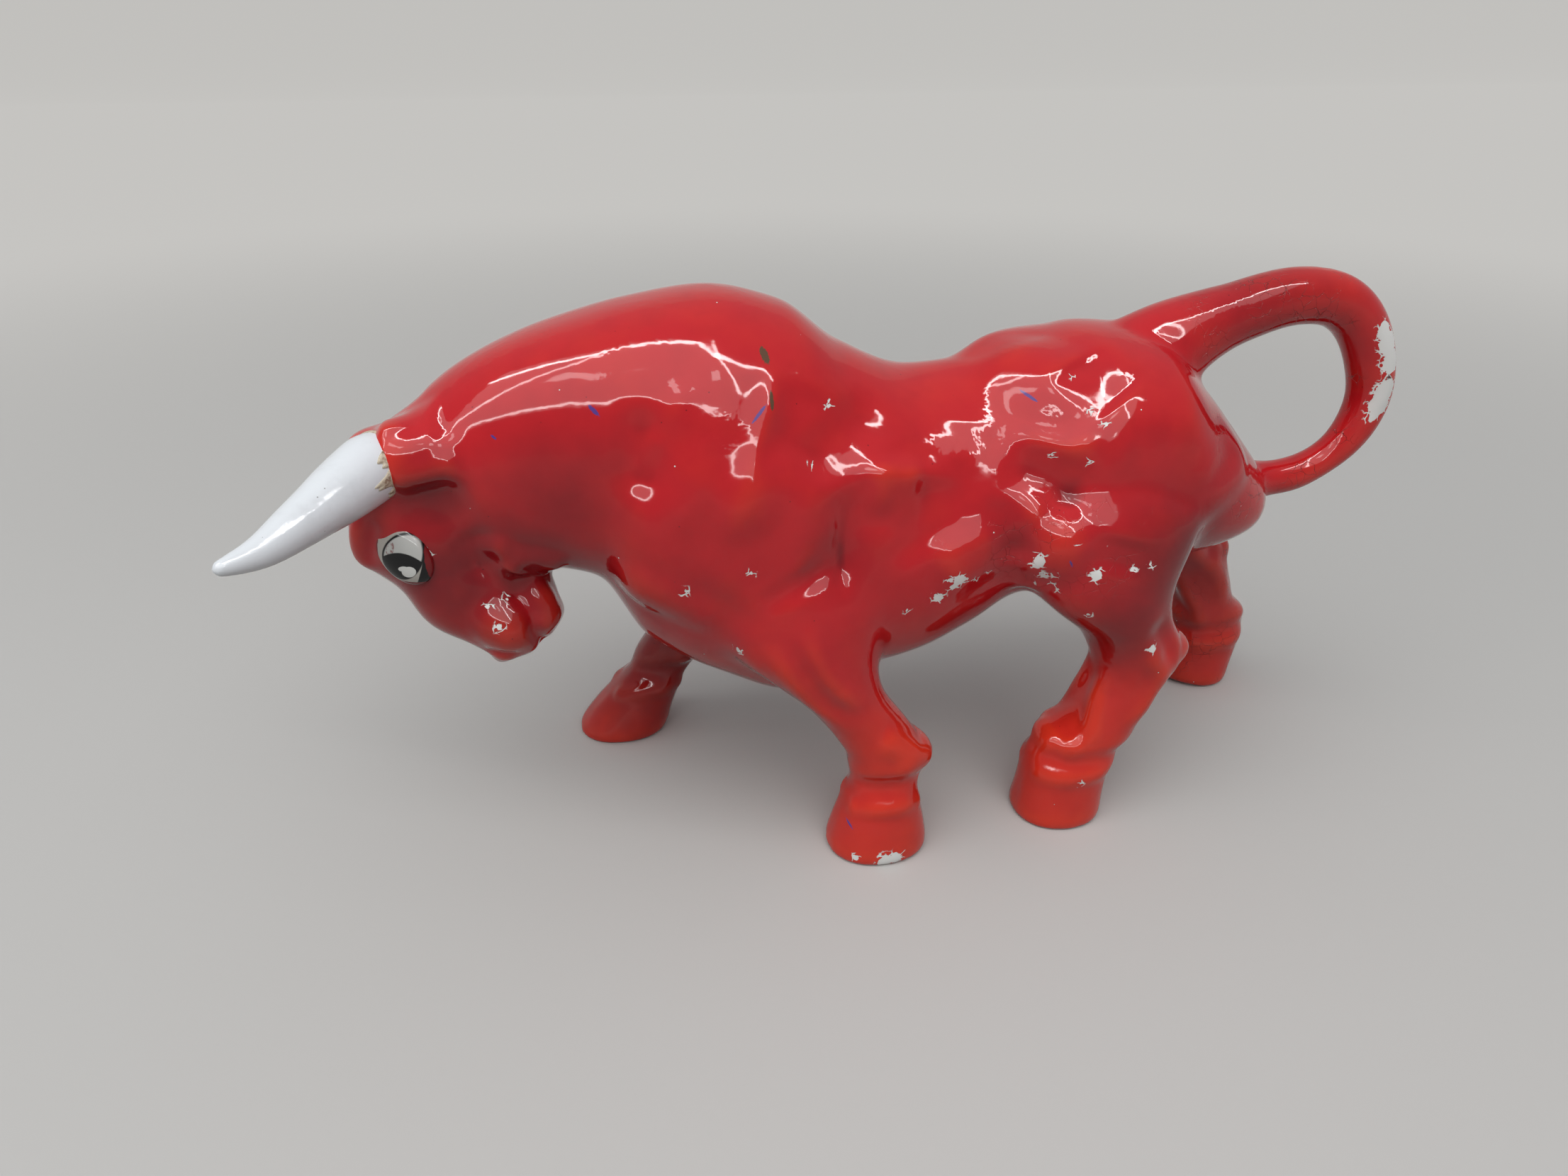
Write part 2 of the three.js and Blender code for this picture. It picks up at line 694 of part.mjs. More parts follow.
// The head's own frame: x from the poll to the nose, y to the right side and z out of the forehead.
function headFrame() {
  const { degToRad } = THREE.MathUtils;
  return new THREE.Matrix4()
    .makeTranslation(POLL_X, POLL_Y, POLL_HEIGHT)
    .multiply(new THREE.Matrix4().makeRotationZ(degToRad(HEAD_TURN)))
    .multiply(new THREE.Matrix4().makeRotationX(degToRad(-HEAD_TILT)))
    .multiply(new THREE.Matrix4().makeRotationY(degToRad(HEAD_DROP)))
    .multiply(new THREE.Matrix4().makeScale(1, 1, -1));
}
const HEAD_FRAME = headFrame();
const inHead = (down, side, out) => new THREE.Vector3(down, side, out).applyMatrix4(HEAD_FRAME);

// The head's sections from the poll to the nose: place, out to the face, back to the jaw, and the half width.
const HEAD = [
  [-9.5, FOREHEAD_RISE - 25, JAW_DEPTH - 13, FOREHEAD_HALF_WIDTH - 14],
  [-7.5, FOREHEAD_RISE - 18.5, JAW_DEPTH - 7, FOREHEAD_HALF_WIDTH - 7],
  [-2, FOREHEAD_RISE - 13, JAW_DEPTH - 2, FOREHEAD_HALF_WIDTH - 2],
  [8, FOREHEAD_RISE - 4, JAW_DEPTH, FOREHEAD_HALF_WIDTH],
  [18, FOREHEAD_RISE, JAW_DEPTH - 2, FOREHEAD_HALF_WIDTH - 1],
  [25, FOREHEAD_RISE - 1.5, JAW_DEPTH - 4, FOREHEAD_HALF_WIDTH - 2],
  [33, FOREHEAD_RISE - 4.5, JAW_DEPTH - 9, MUZZLE_HALF_WIDTH + 4],
  [HEAD_LENGTH - 22, FOREHEAD_RISE - 7, JAW_DEPTH - 14, MUZZLE_HALF_WIDTH],
  [HEAD_LENGTH - 12, FOREHEAD_RISE - 10.5, JAW_DEPTH - 15, MUZZLE_HALF_WIDTH],
  [HEAD_LENGTH - 4, FOREHEAD_RISE - 14, JAW_DEPTH - 20.5, MUZZLE_HALF_WIDTH - 3],
  [HEAD_LENGTH, FOREHEAD_RISE - 21, JAW_DEPTH - 26, MUZZLE_HALF_WIDTH - 10],
].map(([a, face, jaw, half]) => ({ a, face, jaw, half }));
const headAt = (a, field) => along(HEAD, "a", a, field);

function headRing(a, sides, inset = 0) {
  const level = (headAt(a, "face") - headAt(a, "jaw")) / 2;
  const depth = (headAt(a, "face") + headAt(a, "jaw")) / 2 - inset;
  const half = headAt(a, "half") - inset;
  const points = section(sides, { half, above: depth, below: depth, upper: 2.3, lower: 2 });
  return points.map(([side, out]) => inHead(a, side, level + out));
}

// Half width of the head at a place down the face and out from its axis.
function headHalfAt(a, out) {
  const level = (headAt(a, "face") - headAt(a, "jaw")) / 2;
  const depth = (headAt(a, "face") + headAt(a, "jaw")) / 2;
  return headAt(a, "half") * (1 - (Math.abs(out - level) / depth) ** 2.3) ** (1 / 2.3);
}

const headSkin = skin(rings(HEAD[0].a, HEAD_LENGTH, HEAD_RINGS, (a) => headRing(a, HEAD_SIDES)));
const headCutter = cutter(headSkin);

function headHollow() {
  const from = HEAD[0].a + HEAD_WALL;
  const to = HEAD_LENGTH - HEAD_WALL - 3;
  return solid(skin(rings(from, to, CAVITY_RINGS / 2, (a) => headRing(a, CAVITY_SIDES, HEAD_WALL))));
}

// Horns. The line runs from the root in the head, sideways and out of the forehead, to the tip.
function hornLine(side) {
  const tipSide = HORN_ROOT_SIDE + HORN_SPLAY;
  const tipOut = HORN_ROOT_OUT + HORN_REACH;
  return new THREE.QuadraticBezierCurve3(
    inHead(-1, side * HORN_ROOT_SIDE, HORN_ROOT_OUT),
    inHead(2, side * (tipSide - 0.44 * HORN_SPLAY), tipOut - 0.5 * HORN_REACH),
    inHead(-3, side * tipSide, tipOut),
  );
}
const HORN_TAPER = [
  { t: 0, radius: HORN_BASE_RADIUS },
  { t: 0.3, radius: HORN_BASE_RADIUS * 0.9 },
  { t: 0.55, radius: HORN_BASE_RADIUS * 0.73 },
  { t: 0.78, radius: HORN_BASE_RADIUS * 0.47 },
  { t: 0.94, radius: HORN_BASE_RADIUS * 0.21 },
  { t: 1, radius: HORN_TIP_RADIUS },
];

function hornSkin(side) {
  return bar(hornLine(side), (t) => along(HORN_TAPER, "t", t, "radius"), HORN_SIDES, HORN_RINGS);
}

// The glued tenon runs from the horn's body back through its root into the head. The extra makes its socket.
function tenon(side, extra = 0) {
  const line = hornLine(side);
  const back = line.getTangentAt(0).negate();
  const end = line.getPointAt(0).addScaledVector(back, TENON_LENGTH + extra);
  return rod(end, line.getPointAt(0.3), TENON_RADIUS + extra);
}

function horn(side) {
  return mainBody(solid(hornSkin(side)).subtract(headCutter)).add(tenon(side));
}

// The round of cement where a horn meets the head. The extra makes the room that the neighbours leave for it.
function collar(side, extra = 0) {
  const line = hornLine(side);
  const forward = line.getTangentAt(0);
  const start = line.getPointAt(0).addScaledVector(forward, -CEMENT_LENGTH / 3 - extra);
  const end = start.clone().addScaledVector(forward, CEMENT_LENGTH + 2 * extra);
  return rod(start, end, HORN_BASE_RADIUS + CEMENT_WIDTH + extra);
}

function cementCollar(side) {
  const hornRoom = cutter(hornSkin(side)).add(tenon(side, JOINT_GAP));
  return mainBody(collar(side).subtract(hornRoom).subtract(headCutter));
}

// Ears: flat lobes behind the horns, laid back along the neck.
function earLine(side) {
  const outside = FOREHEAD_HALF_WIDTH + EAR_PROUD;
  return new THREE.QuadraticBezierCurve3(
    inHead(4, side * (outside - 6), 0.3 * EAR_LENGTH),
    inHead(5, side * (outside + 2), -0.1 * EAR_LENGTH),
    inHead(10, side * (outside + 2), -0.7 * EAR_LENGTH),
  );
}
const EAR_TAPER = [
  { t: 0, radius: EAR_HALF_WIDTH * 0.55 },
  { t: 0.35, radius: EAR_HALF_WIDTH },
  { t: 0.7, radius: EAR_HALF_WIDTH * 0.75 },
  { t: 1, radius: EAR_HALF_WIDTH * 0.15 },
];

function ear(side) {
  const across = new THREE.Vector3(1, 0, 0).transformDirection(HEAD_FRAME);
  const radius = (t) => along(EAR_TAPER, "t", t, "radius");
  const lobe = solid(bar(earLine(side), radius, EAR_SIDES, 10, across, EAR_FLATNESS));
  const hornRoom = cutter(hornSkin(side)).add(tenon(side, JOINT_GAP)).add(collar(side, JOINT_GAP));
  return mainBody(lobe.subtract(headCutter).subtract(torsoCutter).subtract(hornRoom));
}

// Eyes: flattened balls set in the sides of the head. The socket is larger by the joint gap.
function eyeball(side, extra = 0) {
  const centre = headHalfAt(EYE_ALONG, EYE_OUT) + EYE_PROUD - EYE_THICKNESS / 2;
  const ball = new THREE.SphereGeometry(1, EYE_SIDES, EYE_SIDES / 2);
  ball.scale(EYE_LENGTH / 2 + extra, EYE_THICKNESS / 2 + extra, EYE_WIDTH / 2 + extra);
  ball.rotateX(side * THREE.MathUtils.degToRad(EYE_TILT));
  ball.translate(EYE_ALONG, side * centre, EYE_OUT);
  ball.applyMatrix4(HEAD_FRAME);
  const faces = [...ball.index.array];
  ball.setIndex(faces.reverse());
  return solid(ball);
}

function head() {
  const open = [LEFT, RIGHT].reduce(
    (made, side) => made.subtract(tenon(side, JOINT_GAP)).subtract(eyeball(side, JOINT_GAP)),
    solid(headSkin).subtract(torsoCutter).subtract(headHollow()),
  );
  return mainBody(open);
}

function torso() {
  return mainBody(
    Object.keys(LEGS).reduce(
      (made, name) => made.subtract(limbVent(name)),
      solid(torsoSkin).subtract(torsoHollow()).subtract(bellyVent()).subtract(neckBore()),
    ),
  );
}

// Tail. Its line leaves the rump, goes once round the coil and ends in the buttocks.
function tailLine() {
  const round = (degrees, share = 1) => {
    const angle = THREE.MathUtils.degToRad(degrees);
    const x = TAIL_CENTRE_X + share * TAIL_COIL_REACH * Math.cos(angle);
    return new THREE.Vector3(x, 0, TAIL_CENTRE_HEIGHT + share * TAIL_COIL_HEIGHT * Math.sin(angle));
  };
  return new THREE.CatmullRomCurve3([
    new THREE.Vector3(RUMP_X + 8, 0, RUMP_HEIGHT - 16),
    new THREE.Vector3(RUMP_X + 27, 0, RUMP_HEIGHT - 8),
    new THREE.Vector3(TAIL_CENTRE_X - 29, 0, RUMP_HEIGHT - 0.5),
    round(100),
    round(68, 0.98),
    round(38, 0.95),
    round(-5),
    round(-35),
    new THREE.Vector3(TAIL_CENTRE_X + 11, 0, BUTTOCK_HEIGHT + 6),
    new THREE.Vector3(BUTTOCK_X - 4, 0, BUTTOCK_HEIGHT + 4),
    new THREE.Vector3(BUTTOCK_X - 18, 0, BUTTOCK_HEIGHT + 6),
  ]);
}
const TAIL_TAPER = [
  { t: 0, radius: TAIL_ROOT_RADIUS },
  { t: 0.12, radius: TAIL_ROOT_RADIUS },
  { t: 0.24, radius: TAIL_RADIUS + 0.9 },
  { t: 0.36, radius: TAIL_RADIUS },
  { t: 0.56, radius: TAIL_RADIUS - 1.2 },
  { t: 0.68, radius: TAIL_THIN_RADIUS + 1 },
  { t: 0.77, radius: TAIL_THIN_RADIUS },
  { t: 0.86, radius: TAIL_THIN_RADIUS + 1 },
  { t: 1, radius: TAIL_THIN_RADIUS + 4 },
];

function tail() {
  const radius = (t) => along(TAIL_TAPER, "t", t, "radius");
  return mainBody(solid(bar(tailLine(), radius, TAIL_SIDES, TAIL_RINGS)).subtract(torsoCutter));
}

function sheath() {
  const at = (x, drop) => new THREE.Vector3(x, 0, torsoAt(x, "bottom") - drop);
  const tip = at(SHEATH_X - SHEATH_LENGTH / 2, SHEATH_DROP);
  const line = new THREE.LineCurve3(tip, at(SHEATH_X + SHEATH_LENGTH / 2, 0));
  const radius = (t) => SHEATH_RADIUS * Math.sqrt(Math.max(0.02, 1 - (2 * t - 1) ** 2));
  return mainBody(solid(bar(line, radius, EAR_SIDES, 9)).subtract(torsoCutter));
}

const redGlaze = new THREE.MeshStandardMaterial({ color: 0xc41c1c, roughness: 0.12, metalness: 0 });
const whiteGlaze = new THREE.MeshStandardMaterial({ color: 0xe9e9ea, roughness: 0.15, metalness: 0 });
const cement = new THREE.MeshStandardMaterial({ color: 0xd8c69a, roughness: 0.6, metalness: 0 });
const eyeGlaze = new THREE.MeshStandardMaterial({ color: 0xdcdcda, roughness: 0.15, metalness: 0 });

function piece(name, made, finish) {
  const mesh = new THREE.Mesh(geometryOf(made), finish);
  mesh.name = name;
  return mesh;
}

const bull = new THREE.Group();
bull.add(piece("torso", torso(), redGlaze));
bull.add(piece("head", head(), redGlaze));
for (const name of Object.keys(LEGS)) {
  bull.add(piece(name, leg(name), redGlaze));
}
bull.add(piece("tail_loop", tail(), redGlaze));
bull.add(piece("belly_sheath", sheath(), redGlaze));
for (const [side, word] of [[LEFT, "left"], [RIGHT, "right"]]) {
  bull.add(piece("ear_" + word, ear(side), redGlaze));
  bull.add(piece("horn_" + word, horn(side), whiteGlaze));
  bull.add(piece("horn_cement_" + word, cementCollar(side), cement));
  bull.add(piece("eye_" + word, eyeball(side), eyeGlaze));
}

// The origin is on the ground, under the middle of the whole bull.
const extent = new THREE.Box3().setFromObject(bull);
const centre = extent.getCenter(new THREE.Vector3());
bull.position.set(-centre.x, -centre.y, -extent.min.z);

export default bull;
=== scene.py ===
"""A glazed ceramic bull in the charging stance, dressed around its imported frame.

Sizes are millimetres in the bull's own frame until a piece is placed: +Z up, the head towards -X and the
bull's left side towards -Y. The luted castings are fused into one skin, modelled with strokes, and parted
again along their seams, so that the glaze runs over the seams as it does on the real one.
"""

import logging
import math
from collections.abc import Callable, Iterable, Sequence
from dataclasses import dataclass
from enum import Enum
from functools import partial

import bmesh
import bpy
import numpy as np
from mathutils import Euler, Matrix, Vector


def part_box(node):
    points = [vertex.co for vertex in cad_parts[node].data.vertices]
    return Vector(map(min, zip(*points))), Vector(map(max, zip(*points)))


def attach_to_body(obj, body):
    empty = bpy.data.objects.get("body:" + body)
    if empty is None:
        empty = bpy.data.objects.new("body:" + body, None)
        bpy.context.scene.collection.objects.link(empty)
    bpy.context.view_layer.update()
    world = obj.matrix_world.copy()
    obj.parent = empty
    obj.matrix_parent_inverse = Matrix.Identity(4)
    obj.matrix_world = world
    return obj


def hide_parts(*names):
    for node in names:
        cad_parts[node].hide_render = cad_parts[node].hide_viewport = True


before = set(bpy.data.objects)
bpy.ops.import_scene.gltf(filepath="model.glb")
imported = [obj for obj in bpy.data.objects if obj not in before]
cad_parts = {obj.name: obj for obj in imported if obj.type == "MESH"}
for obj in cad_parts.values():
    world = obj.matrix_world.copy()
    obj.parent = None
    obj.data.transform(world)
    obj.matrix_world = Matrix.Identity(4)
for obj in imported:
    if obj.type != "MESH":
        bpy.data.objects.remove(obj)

log = logging.getLogger("bull")

MM = 0.001
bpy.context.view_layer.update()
BUTTOCK_X = 142.5
ROOT = "root"
STROKE_STEPS = 28
# What the skin's points carry for the red glaze.
PAINTED = ("pool_and_shade", "thin", "crazed", "chip")
# How far a parted piece's cap is pushed in, so that it stays under the skin.
CAP_DEPTH = 4.0

Row = Sequence[float]
Point = tuple[float, float, float]
Colour = tuple[float, float, float, float]
Field = Callable[[np.ndarray], np.ndarray]


class Side(Enum):
    """Which side of the bull a piece belongs to, as the sign of its Y."""

    LEFT = -1
    RIGHT = 1

    @property
    def word(self) -> str:
        """The side's name as the nodes spell it."""
        return self.name.lower()


class Slot(Enum):
    """The record's material slots."""

    RED = "red_glaze"
    WHITE = "white_glaze"
    CEMENT = "cement"
    EYE = "eye_glaze"


class Touch(Enum):
    """How a modelling stroke falls off towards its edge."""

    ROUND = "round"
    SHARP = "sharp"
    FLAT = "flat"


def frame_shift() -> Vector:
    """Where the bull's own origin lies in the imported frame, in millimetres.

    Returns:
        The way from the bull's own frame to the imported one.
    """
    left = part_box("leg_front_left")[0].y
    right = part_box("leg_front_right")[1].y
    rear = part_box("torso")[1].x
    return Vector((rear / MM - BUTTOCK_X, (left + right) / 2 / MM, 0.0))


SHIFT = frame_shift()


def eased_between(
    t: np.ndarray, start: np.ndarray, end: np.ndarray, leaving: np.ndarray, arriving: np.ndarray
) -> np.ndarray:
    """Goes smoothly from one value to the next.

    Args:
        t: Shares of the way, from 0 to 1.
        start: The values at 0.
        end: The values at 1.
        leaving: How fast the values change at 0.
        arriving: How fast they change at 1.

    Returns:
        The values at the shares.
    """
    first = (2 * t**3 - 3 * t**2 + 1) * start + (t**3 - 2 * t**2 + t) * leaving
    last = (3 * t**2 - 2 * t**3) * end + (t**3 - t**2) * arriving
    return first + last


class Run:
    """Values along given stations, on smooth curves that never overshoot them."""

    def __init__(self, rows: Sequence[Row]) -> None:
        """Reads the stations.

        Args:
            rows: A place followed by its values, in rising order of place.
        """
        table = np.array(rows, float)
        self.places, self.values = table[:, 0], table[:, 1:]
        slopes = np.diff(self.values, axis=0) / np.diff(self.places)[:, None]
        before, after = slopes[:-1], slopes[1:]
        same = before * after > 0
        middle = np.where(same, 2 * before * after / np.where(same, before + after, 1), 0)
        self.tangents = np.vstack([slopes[:1], middle, slopes[-1:]])

    def at(self, places: np.ndarray) -> np.ndarray:
        """Reads the values at some places.

        Args:
            places: Places along the run, one number each.

        Returns:
            One row of values for each place.
        """
        held = np.clip(np.atleast_1d(places), self.places[0], self.places[-1])
        k = np.clip(np.searchsorted(self.places, held, side="right") - 1, 0, len(self.places) - 2)
        span = (self.places[k + 1] - self.places[k])[:, None]
        t = (held - self.places[k])[:, None] / span
        start, end = self.values[k], self.values[k + 1]
        return eased_between(t, start, end, self.tangents[k] * span, self.tangents[k + 1] * span)


def spline(path: Sequence[Point] | np.ndarray, count: int) -> np.ndarray:
    """Draws a smooth curve through points, evenly spaced along its length.

    Args:
        path: The points that the curve goes through.
        count: How many points to return.

    Returns:
        The curve's points, one row each.
    """
    points = np.array(path, float)
    if len(points) == 1:
        return np.repeat(points, 2, axis=0)
    if len(points) == 2:
        return points[0] + np.linspace(0, 1, count)[:, None] * (points[1] - points[0])
    knots = np.concatenate([[0], np.cumsum(np.sqrt(np.linalg.norm(np.diff(points, axis=0), axis=1)))])
    gaps = np.diff(knots)[:, None]
    slopes = np.diff(points, axis=0) / gaps
    inner = (slopes[:-1] * gaps[1:] + slopes[1:] * gaps[:-1]) / (gaps[:-1] + gaps[1:])
    tangents = np.vstack([slopes[:1] * 1.5 - inner[:1] * 0.5, inner, slopes[-1:] * 1.5 - inner[-1:] * 0.5])
    at = np.linspace(knots[0], knots[-1], 20 * len(points))
    k = np.clip(np.searchsorted(knots, at, side="right") - 1, 0, len(points) - 2)
    t = ((at - knots[k]) / gaps[k, 0])[:, None]
    drawn = eased_between(t, points[k], points[k + 1], tangents[k] * gaps[k], tangents[k + 1] * gaps[k])
    lengths = np.concatenate([[0], np.cumsum(np.linalg.norm(np.diff(drawn, axis=0), axis=1))])
    even = np.linspace(0, lengths[-1], count)
    return np.stack([np.interp(even, lengths, drawn[:, axis]) for axis in range(3)], axis=1)


def bezier(points: Sequence[Point] | np.ndarray, count: int) -> np.ndarray:
    """Draws a curve from its start to its end, pulled by the point between.

    Args:
        points: The start, the pull and the end.
        count: How many points to return.

    Returns:
        The curve's points, one row each.
    """
    start, pull, end = np.array(points, float)
    t = np.linspace(0, 1, count)[:, None]
    return (1 - t) ** 2 * start + 2 * t * (1 - t) * pull + t**2 * end


def crowded_ends(count: int) -> np.ndarray:
    """Shares from 0 to 1 that lie closer together at both ends."""
    t = np.linspace(0, 1, count)
    return 0.55 * t + 0.45 * (0.5 - 0.5 * np.cos(math.pi * t))


def turn_angles(count: int) -> np.ndarray:
    """Evenly spaced angles of one whole turn."""
    return 2 * math.pi * np.arange(count) / count


def section(
    sides: int, half: np.ndarray, above: np.ndarray, below: np.ndarray, upper: np.ndarray, lower: float
) -> np.ndarray:
    """Draws rounded sections, boxier where their power is larger.

    Args:
        sides: Points round each section.
        half: Half widths.
        above: Heights over the widest level.
        below: Heights under it.
        upper: Powers over the widest level, where 2 is an ellipse.
        lower: The power under it.

    Returns:
        Across and height of each point, by section and by point.
    """
    angle = turn_angles(sides)[None, :]
    right, up = np.cos(angle), np.sin(angle)
    power = np.where(up > 0, 2 / upper[:, None], 2 / lower)
    across = half[:, None] * np.sign(right) * np.abs(right) ** power
    height = np.where(up > 0, above[:, None], below[:, None]) * np.sign(up) * np.abs(up) ** power
    return np.stack([across, height], axis=2)


def loft(clay: bmesh.types.BMesh, rings: np.ndarray, endless: bool = False) -> None:
    """Skins rings of equal count into one closed shell.

    Args:
        clay: The mesh that gets the shell.
        rings: Points by ring and by place round it.
        endless: Whether the last ring joins the first, where otherwise both are capped.
    """
    loops = []
    for ring in rings:
        made = bmesh.ops.create_circle(clay, cap_ends=False, segments=len(ring), radius=1.0)
        for vert, place in zip(made["verts"], ring):
            vert.co = place
        loops.append({edge for vert in made["verts"] for edge in vert.link_edges})
    for near, far in zip(loops, loops[1:] + loops[:1] if endless else loops[1:]):
        bmesh.ops.bridge_loops(clay, edges=list(near | far))
    if not endless:
        bmesh.ops.holes_fill(clay, edges=list(loops[0] | loops[-1]), sides=0)


def tube(
    clay: bmesh.types.BMesh,
    line: np.ndarray,
    radii: np.ndarray,
    sides: int,
    across: Row = (0, 1, 0),
    flat: float = 1.0,
) -> None:
    """Skins a round or flattened bar along a line.

    Args:
        clay: The mesh that gets the bar.
        line: The points of its middle.
        radii: Its radius at each point.
        sides: Points round it.
        across: The direction of its full width.
        flat: Its thickness over its width.
    """
    forward = np.gradient(line, axis=0)
    forward /= np.linalg.norm(forward, axis=1)[:, None]
    lift = np.cross(forward, np.array(across, float))
    lift /= np.linalg.norm(lift, axis=1)[:, None]
    side = np.cross(lift, forward)
    angle = turn_angles(sides)[None, :, None]
    spread = np.cos(angle) * side[:, None, :] + np.sin(angle) * flat * lift[:, None, :]
    loft(clay, line[:, None, :] + spread * np.asarray(radii, float)[:, None, None])


def smoothstep(value: np.ndarray, low: float, high: float) -> np.ndarray:
    """Rises smoothly from 0 at low to 1 at high."""
    t = np.clip((value - low) / (high - low), 0, 1)
    return t * t * (3 - 2 * t)


@dataclass(frozen=True)
class Stroke:
    """One stroke of the modelling tool, which raises the clay along a path or sinks it.

    A path of one point makes a round lump or dimple.
    """

    name: str
    width: float
    height: float
    path: tuple[Point, ...]
    touch: Touch = Touch.ROUND
    fade: float = 0.3

    def moved(self, place: Callable[[np.ndarray], np.ndarray]) -> "Stroke":
        """The same stroke with its path put elsewhere."""
        path = tuple(map(tuple, place(np.array(self.path, float))))
        return Stroke(self.name, self.width, self.height, path, self.touch, self.fade)

    def lift(self, points: np.ndarray) -> np.ndarray:
        """Works out how far the stroke moves some points.

        Args:
            points: Places on the clay, one row each.

        Returns:
            Millimetres along the normal, one number for each point.
        """
        line = spline(self.path, 4 if len(self.path) < 3 else STROKE_STEPS)
        start, step = line[:-1], np.diff(line, axis=0)
        reach = (step**2).sum(1)
        offset = points[:, None, :] - start[None, :, :]
        share = np.clip((offset * step).sum(2) / np.where(reach > 0, reach, 1), 0, 1)
        gap = np.linalg.norm(offset - share[:, :, None] * step, axis=2)
        nearest = gap.argmin(1)
        rows = np.arange(len(points))
        along = (nearest + share[rows, nearest]) / len(step)
        away = np.clip(gap[rows, nearest] / self.width, 0, 1)
        fall = {
            Touch.ROUND: (1 - away**2) ** 2,
            Touch.SHARP: (1 - away) ** 2,
            Touch.FLAT: 1 - smoothstep(away, 0.45, 1.0),
        }[self.touch]
        ends = np.ones(len(points))
        if self.fade > 0 and len(self.path) > 1:
            ends = smoothstep(along, -0.02, self.fade) * smoothstep(1 - along, -0.02, self.fade)
        return self.height * fall * ends


class Clay:
    """The fused castings as one dense mesh that strokes and smoothing shape."""

    def __init__(self, mesh: bpy.types.Mesh, grain: float) -> None:
        """Takes a closed mesh over.

        Args:
            mesh: The mesh to shape, in millimetres.
            grain: The usual length of its edges.
        """
        self.mesh, self.grain = mesh, grain
        self.points = self.read(mesh.vertices, "co", 3)
        self.edges = self.read(mesh.edges, "vertices", 2, int)
        count = len(self.points)
        self.degree = np.bincount(self.edges.ravel(), minlength=count).astype(float)[:, None]

    @staticmethod
    def read(items: bpy.types.bpy_prop_collection, name: str, width: int, kind: type = float) -> np.ndarray:
        """Reads one property of all items as rows.

        Args:
            items: A mesh's points, edges or faces.
            name: The property.
            width: How many numbers it has for each item.
            kind: Whether they are int or float.

        Returns:
            One row for each item.
        """
        flat = np.empty(len(items) * width, np.int32 if kind is int else np.float32)
        items.foreach_get(name, flat)
        return flat.reshape(-1, width).astype(kind)

    def neighbours(self, values: np.ndarray) -> np.ndarray:
        """The mean of each point's neighbours.

        Args:
            values: One row for each point.

        Returns:
            One mean row for each point.
        """
        i, j = self.edges.T
        count = len(self.points)
        total = np.stack(
            [
                np.bincount(i, values[j, k], count) + np.bincount(j, values[i, k], count)
                for k in range(values.shape[1])
            ],
            axis=1,
        )
        return total / self.degree

    def relax(self, reach: float, weight: np.ndarray | float = 1.0) -> None:
        """Smooths the clay.

        Args:
            reach: The size in millimetres of what is smoothed away.
            weight: How much of each move is made, for all points or for each.
        """
        share = 0.5 * (weight[:, None] if isinstance(weight, np.ndarray) else weight)
        for _ in range(self.passes(reach)):
            self.points += share * (self.neighbours(self.points) - self.points)

    def passes(self, reach: float) -> int:
        """How many steps to the neighbours' middle smooth away a size in millimetres."""
        return max(1, round((2 * reach / self.grain) ** 2))

    def normals(self) -> np.ndarray:
        """The outward direction at each point.

        Returns:
            One unit row for each point.
        """
        self.mesh.vertices.foreach_set("co", self.points.astype(np.float32).ravel())
        self.mesh.update()
        return self.read(self.mesh.vertex_normals, "vector", 3)

    def press(self, strokes: Iterable[Stroke]) -> None:
        """Moves the clay along its normals by all strokes together.

        Args:
            strokes: The strokes, with their paths in the bull's frame.
        """
        normals = self.normals()
        lift = np.zeros(len(self.points))
        for stroke in strokes:
            path = spline(stroke.path, STROKE_STEPS)
            low, high = path.min(0) - stroke.width, path.max(0) + stroke.width
            near = np.flatnonzero(((self.points > low) & (self.points < high)).all(1))
            if len(near):
                lift[near] += stroke.lift(self.points[near])
        self.points += normals * lift[:, None]

    def hollows(self, reach: float) -> np.ndarray:
        """How far each point lies under the skin smoothed over a reach, in millimetres.

        Args:
            reach: The size in millimetres of what the smooth skin leaves out.

        Returns:
            One depth for each point, under 0 on a bulge.
        """
        normals = self.normals()
        smooth = self.points.copy()
        for _ in range(self.passes(reach)):
            smooth += 0.5 * (self.neighbours(smooth) - smooth)
        return ((smooth - self.points) * normals).sum(1)


def mirrored(points: np.ndarray) -> np.ndarray:
    """The same places on the bull's other side."""
    return points * np.array([1.0, -1.0, 1.0])


